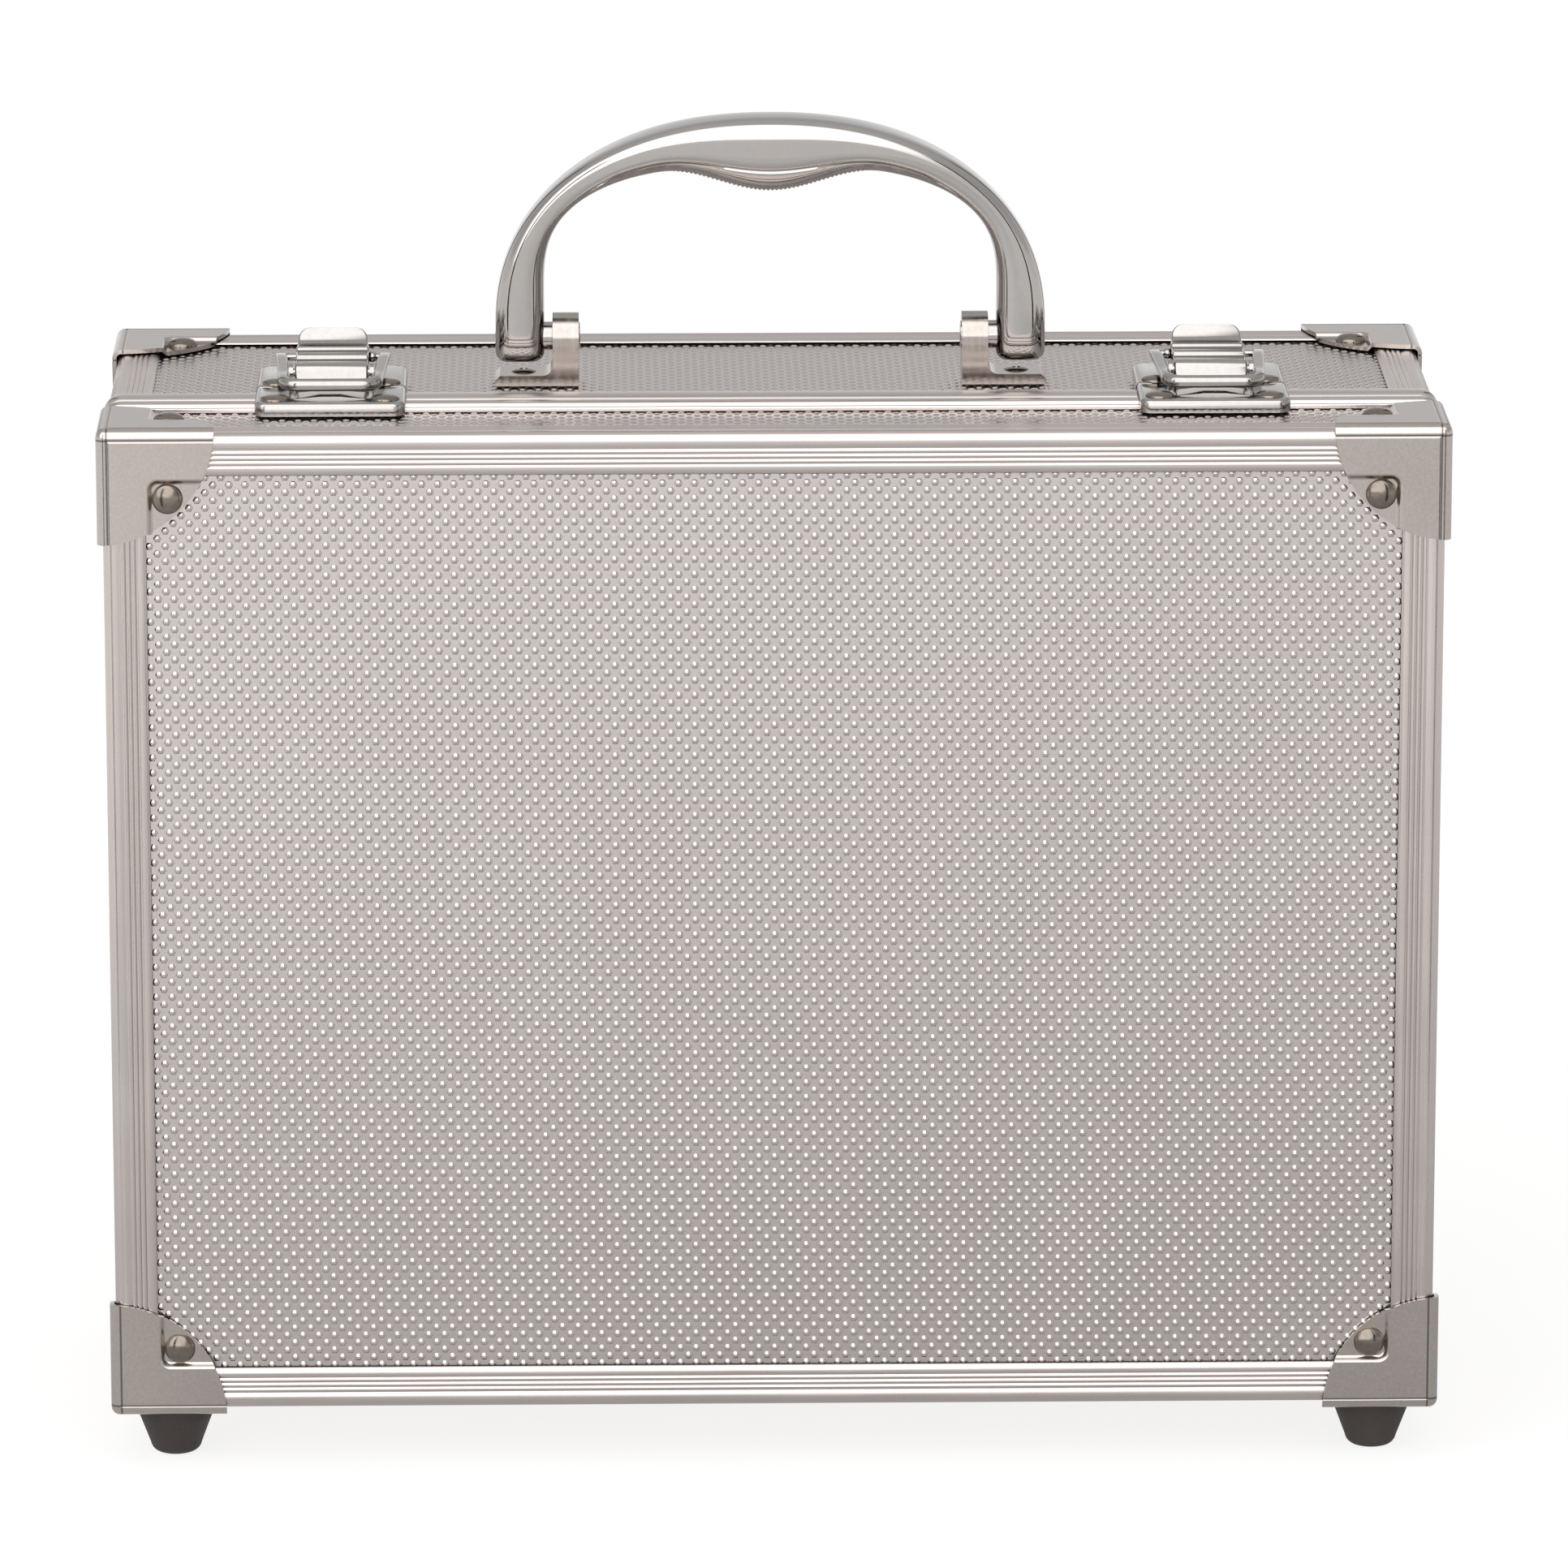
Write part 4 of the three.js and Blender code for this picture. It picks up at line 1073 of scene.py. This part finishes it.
def bail_path(y_bar, y_pin, z_bar, z_pin):
    """Right half of the loop's centre line, from the middle of its bar to beyond its pivot."""
    half_front = BAIL_FRONT_HALF - BAIL_STRIP[0] / 2
    half_rear = BAIL_REAR_HALF - BAIL_STRIP[0] / 2
    centre = (half_front - BAIL_TURN, y_bar + BAIL_TURN)
    plan = [(0, y_bar), (centre[0] * 0.5, y_bar), *arc(centre, BAIL_TURN, 270, 360, 8)]
    for share in np.linspace(0.12, 1, 10):
        y = centre[1] + share * (y_pin + 1.5 - centre[1])
        plan.append((half_front + share * (half_rear - half_front), y))
    slope = (z_pin - z_bar) / (y_pin - y_bar)
    return [np.array([u, y, z_bar + (y - y_bar) * slope]) for u, y in plan]


def bail_ring(point, along, flat, shrink):
    """Section of the loop, from a round bar to a flat strip."""
    across = np.cross(along, Z)
    across /= np.linalg.norm(across)
    up = np.cross(across, along)
    width, height = (BAIL_BAR + (size - BAIL_BAR) * flat for size in BAIL_STRIP)
    ring = []
    for t in np.linspace(0, 2 * math.pi, 20, endpoint=False):
        a, b = superellipse(math.cos(t), math.sin(t), 2 + 2.5 * flat)
        ring.append(point + width / 2 * a * across + height / 2 * shrink * b * up)
    return ring


def make_bail(side, right, x):
    """The loop, with a stub at either end that reaches into the lever, one with a ball on it."""
    node = f"latch_bail_{side}"
    _, y_pin, z_pin = pivot(node)
    _, y_bar, z_bar = box(node)[0] + BAIL_BAR / 2
    half_path = bail_path(y_bar, y_pin, z_bar, z_pin)
    path = np.array([p * (-1, 1, 1) for p in half_path[:0:-1]] + half_path)
    rings = []
    for k, (point, along) in enumerate(zip(path, directions(path))):
        flat = clamp((point[1] - y_bar - BAIL_TURN - 1) / 4)
        from_end = min(k, len(path) - 1 - k)
        shrink = BAIL_ENDS[from_end] if from_end < len(BAIL_ENDS) else 1
        rings.append(bail_ring(point + x * X, along, flat, shrink))
    solid = Solid()
    solid.loft(rings)
    ball = [(1.2 * math.sin(a), 1.35 - 1.2 * math.cos(a)) for a in np.radians(np.arange(42, 140, 14))]
    off = BAIL_REAR_HALF - BAIL_STRIP[0] - 0.1
    for sign in (-1, 1):
        knob = [(BAIL_PIN, 0.42), *ball, (BAIL_PIN, 2.35)] if sign == -right else []
        profile = [(BAIL_PIN, -0.4), *knob, (BAIL_PIN, off - 6)]
        solid.lathe(profile, np.array([x + sign * off, y_pin, z_pin]), -sign * X, 20)
    make_piece(solid, node + "_formed", LATCH, f"bail_{side}", "latch_steel", [node], sharp_angle=50)


def make_latch(side, right):
    """One draw latch: catch, plate with ears, pin, lever and loop."""
    x = sum(box(f"latch_plate_{side}"))[0] / 2
    catch, surface = pressed_plate(f"latch_catch_{side}", x, 2.6, 0.8)
    catch.prism(HOOK_OUTLINE, np.array([x, 0, surface]), X, Z, Y, FRONT + 24, FRONT + 30.5)
    make_pressed(catch, f"latch_catch_{side}", "lid", x, CATCH_RIVET_Y, surface)

    plate, surface = pressed_plate(f"latch_plate_{side}", x, 0.8, 4)
    axis = pivot(f"latch_lever_{side}")
    half = EAR["half"]
    foot = surface - 0.4
    ear = [(EAR["foot"], foot), (half, axis[2]), *arc((0, axis[2]), half, 0, 180, 12)[1:], (-half, foot)]
    for sign in (-1, 1):
        span = sorted((sign * EAR["inner"], sign * EAR["outer"]))
        plate.prism(ear, np.array([x, axis[1], 0]), Y, Z, X, *span)
    make_pressed(plate, f"latch_plate_{side}", "base", x, PLATE_RIVET_Y, surface)
    turned_pin(f"latch_pin_{side}", axis, LATCH_PIN_END, LATCH, "latch_steel")
    make_lever(side, x)
    make_bail(side, right, x)


# ---- hinge -----------------------------------------------------------------------------------

HINGE_KNUCKLES = 9
HINGE_RIVETS = 7
HINGE_SHEET = 1.0
HINGE_BEND = 0.8
HINGE_GAP = 0.15  # at either end of a knuckle
HINGE_PIN_END = ((0.8, 0), (1.15, 0.2))
HINGE_RIVET = (2.2, 0.9)  # radius and height of its head


def make_leaf(half, back, axis):
    """A hinge leaf with its knuckles and rivets, worked out as (distance from the axis, height)."""
    node = f"{half}_hinge_leaf"
    low, high = box(node)
    top = BOTTOM - 1.3
    under = top - HINGE_SHEET
    radius = axis[2] - low[2]
    reach = abs((high[1] if back > 0 else low[1]) - axis[1])
    bend = arc((reach - HINGE_BEND, under + HINGE_BEND), HINGE_BEND, 270, 360, 4)
    leaf = [(radius + 0.3, under), *bend, (reach, high[2]), (reach - HINGE_SHEET, high[2])]
    leaf += [(reach - HINGE_SHEET, top), (radius + 0.3, top)]
    solid = Solid()
    origin = np.array([0, axis[1], 0])
    solid.prism(leaf, origin, back * Y, Z, X, low[0], high[0])
    curl = [(radius + 0.35, top), (0, top), *arc((0, axis[2]), radius, 90, 335, 28)]
    curl += [(radius * 1.02, under), (radius + 0.35, under)]
    pitch = (high[0] - low[0]) / HINGE_KNUCKLES
    for k in range(0 if back > 0 else 1, HINGE_KNUCKLES, 2):
        start = low[0] + k * pitch + HINGE_GAP
        solid.prism(curl, origin, back * Y, Z, X, start, start + pitch - 2 * HINGE_GAP)
    make_piece(solid, node + "_rolled", ZINC, half, "hinge_steel", [node], sharp_angle=35, bevel=0.12)
    rivets = Solid()
    y = axis[1] + back * (reach + radius) / 2
    for k in range(HINGE_RIVETS):
        x = low[0] + (k + 0.5) * (high[0] - low[0]) / HINGE_RIVETS
        domed_head(rivets, np.array([x, y, under]), -Z, *HINGE_RIVET)
    make_piece(rivets, node + "_rivets", RIVET, half, "hinge_steel")


def make_hinge():
    axis = pivot("lid_hinge")
    for half, back in HALVES:
        make_leaf(half, back, axis)
    turned_pin("hinge_pin", axis, HINGE_PIN_END, ZINC, "hinge_steel")


# ---- linings ---------------------------------------------------------------------------------

LINING_THICK = 2.0
LINING_FILLET = 4  # round its floor


def make_lining(half, opens):
    """A felt-covered tray with round inner corners."""
    node = f"{half}_lining"
    low, high = box(node)
    half_u, _, half_v = (high - low) / 2
    floor = low[1] if opens > 0 else high[1]
    depth = high[1] - low[1]
    thick = LINING_THICK

    def loop(inset, radius, distance):
        outline = rounded_rectangle(half_u - inset, half_v - inset, [radius] * 4, 8)
        return [np.array([u, floor + opens * distance, MIDDLE + v]) for u, v in outline]

    rings = [loop(0, 0.4, 0), loop(0, 0.4, depth - 0.6), loop(0.3, 0.6, depth - 0.1)]
    rings += [loop(0.9, 1, depth), loop(thick - 0.4, 1.6, depth - 0.2), loop(thick, 2, depth - 0.8)]
    for turn in np.radians((0, 25, 50, 70, 90)):
        inset = thick + LINING_FILLET * (1 - math.cos(turn))
        distance = thick + LINING_FILLET * (1 - math.sin(turn))
        rings.append(loop(inset, 2 + 3 * math.sin(turn), distance))
    solid = Solid()
    solid.loft(rings)
    make_piece(solid, node + "_felt", FELT, half, "lining_fabric", [node], sharp_angle=60)


# ---- studio ----------------------------------------------------------------------------------

CAMERA_AZIMUTH = -1.12
CAMERA_ELEVATION = 14.2
CAMERA_DISTANCE = 2200
CAMERA_TARGET = (2.9, 0, 136.4)
CAMERA_ANGLE = 8.76


def make_camera():
    data = bpy.data.cameras.new("camera")
    data.sensor_fit = "AUTO"
    data.angle = math.radians(CAMERA_ANGLE)
    data.clip_end = 100
    camera = bpy.data.objects.new("camera", data)
    bpy.context.scene.collection.objects.link(camera)
    a, e = math.radians(CAMERA_AZIMUTH), math.radians(CAMERA_ELEVATION)
    back = Vector((math.sin(a) * math.cos(e), -math.cos(a) * math.cos(e), math.sin(e)))
    camera.location = (Vector(CAMERA_TARGET) + back * CAMERA_DISTANCE) * MM
    camera.rotation_euler = (-back).to_track_quat("-Z", "Y").to_euler()
    bpy.context.scene.camera = camera


SKY = ((0.0, 0.97), (0.09, 0.97), (0.2, 0.72), (0.5, 0.62), (1.0, 0.8))  # (sine of the elevation, light)
WINDOW_TOWARDS = (-0.25, -0.8, 0.6)  # the bright part of the sky, before and above the case
WINDOW_EDGE = (0.64, 0.84)  # cosines of the angles between which it grows bright
WINDOW_LIGHT = 2.0
FLOOR_COLOUR = (0.16, 0.159, 0.158)
FLOOR_GLOW = 0.83
FLOOR_REACH = 30000
CARD_HEIGHT = 0.3
CARD_TILT = ((-250, 1.12), (250, 0.88))  # (x, share of its light): a painted falloff, darker to the right
CARD_RADIUS = 1200
CARD_NEAR = 0.55  # painted shade: what the metal sees of the floor beside the case
CARD_FAR = 0.99
CARD_REACH = 750  # where it grows as bright as the rest
FLAG_AZIMUTHS = (38, 142, 218, 322)  # dark cards that only reflections show
FLAG_DISTANCE = 400
FLAG_SIZE = (50, 500)


def make_studio():
    world = bpy.data.worlds.new("studio")
    world.use_nodes = True
    tree = world.node_tree
    direction = tree.nodes.new("ShaderNodeTexCoord").outputs["Generated"]
    split = tree.nodes.new("ShaderNodeSeparateXYZ")
    tree.links.new(direction, split.inputs["Vector"])
    sky = tree.nodes.new("ShaderNodeValToRGB")
    tree.links.new(split.outputs["Z"], sky.inputs["Fac"])
    fill_ramp(sky.color_ramp, SKY)
    facing = tree.nodes.new("ShaderNodeVectorMath")
    facing.operation = "DOT_PRODUCT"
    facing.inputs[1].default_value = Vector(WINDOW_TOWARDS).normalized()
    tree.links.new(direction, facing.inputs[0])
    window = tree.nodes.new("ShaderNodeMapRange")
    window.interpolation_type = "SMOOTHSTEP"
    for socket, value in zip(("From Min", "From Max", "To Max"), (*WINDOW_EDGE, WINDOW_LIGHT)):
        window.inputs[socket].default_value = value
    tree.links.new(facing.outputs["Value"], window.inputs["Value"])
    both = tree.nodes.new("ShaderNodeVectorMath")
    tree.links.new(sky.outputs["Color"], both.inputs[0])
    tree.links.new(window.outputs["Result"], both.inputs[1])
    tree.links.new(both.outputs["Vector"], tree.nodes["Background"].inputs["Color"])
    bpy.context.scene.world = world
    bpy.context.scene.view_settings.view_transform = "Standard"

    corners = [(FLOOR_REACH * u, FLOOR_REACH * v, 0) for u, v in ((-1, -1), (1, -1), (1, 1), (-1, 1))]
    make_stage("floor", corners, floor_paper())
    # a glowing card, seen only in reflections, paints the floor's shade into the metal
    disc = [(x, y, CARD_HEIGHT) for x, y in arc((0, 0), CARD_RADIUS, 0, 357, 119)]
    reflected_only(make_stage("floor_card", disc, painted_floor_shade()))
    for azimuth in FLAG_AZIMUTHS:
        make_flag(azimuth)


def fill_ramp(ramp, stops):
    ramp.interpolation = "EASE"
    while len(ramp.elements) < len(stops):
        ramp.elements.new(0.5)
    for element, (place, light) in zip(ramp.elements, stops):
        element.position = place
        element.color = (light, light, light, 1)


def make_stage(name, points, material):
    mesh = bpy.data.meshes.new(name)
    mesh.from_pydata([tuple(c * MM for c in p) for p in points], [], [list(range(len(points)))])
    mesh.materials.append(material)
    card = bpy.data.objects.new(name, mesh)
    bpy.context.scene.collection.objects.link(card)
    return card


def reflected_only(card):
    card.visible_camera = False
    card.visible_diffuse = False
    card.visible_shadow = False


def floor_paper():
    n = Nodes("floor_paper")
    share = n.spread(n.noise(6, 3), 0, 1)
    tone = n.tint(share, scaled(FLOOR_COLOUR, 0.99), scaled(FLOOR_COLOUR, 1.01))
    n.link(tone, n.shader.inputs["Base Color"])
    n.shader.inputs["Roughness"].default_value = 0.9
    n.shader.inputs["Specular IOR Level"].default_value = 0.1
    n.shader.inputs["Emission Color"].default_value = (1, 0.995, 0.99, 1)
    n.shader.inputs["Emission Strength"].default_value = FLOOR_GLOW
    return n.material


def painted_floor_shade():
    """A glowing card that only reflections show, painting the floor's shade into the metal: darker beside
    the case, in its own shade, and darker to the right, a painted falloff of the light.
    """
    n = Nodes("painted_floor_shade")
    split = n.tree.nodes.new("ShaderNodeSeparateXYZ")
    n.link(n.place, split.inputs["Vector"])
    distance = n.tree.nodes.new("ShaderNodeVectorMath")
    distance.operation = "LENGTH"
    n.link(n.place, distance.inputs[0])
    share = n.spread(distance.outputs["Value"], CARD_NEAR, CARD_FAR, 60 * MM, CARD_REACH * MM)
    (left, more), (right, less) = CARD_TILT
    tilt = n.spread(split.outputs["X"], more, less, left * MM, right * MM)
    n.shader.inputs["Base Color"].default_value = (0, 0, 0, 1)
    n.shader.inputs["Specular IOR Level"].default_value = 0
    n.shader.inputs["Emission Color"].default_value = (1, 1, 1, 1)
    n.link(n.combine("MULTIPLY", share, tilt), n.shader.inputs["Emission Strength"])
    return n.material


def make_flag(azimuth):
    """A dark card beside the camera's line, which puts the dark streaks into the bright metal."""
    turn = math.radians(azimuth)
    out = np.array([math.sin(turn), -math.cos(turn), 0])
    along = np.array([math.cos(turn), math.sin(turn), 0])
    width, height = FLAG_SIZE
    foot = out * FLAG_DISTANCE
    base = [foot - along * width / 2, foot + along * width / 2]
    corners = [*base, *(c + height * Z for c in base[::-1])]
    reflected_only(make_stage(f"flag_{azimuth}", corners, RUBBER))


# ---- the whole case --------------------------------------------------------------------------

make_camera()
make_studio()
make_boards()
make_frame()
closure_rail("base", 1, 1)
closure_rail("lid", -1, 0.6)
make_protectors()
make_feet()
make_handle()
for side_name, side_sign in SIDES:
    make_bracket(side_name, side_sign)
    make_latch(side_name, side_sign)
make_hinge()
make_lining("base", -1)
make_lining("lid", 1)
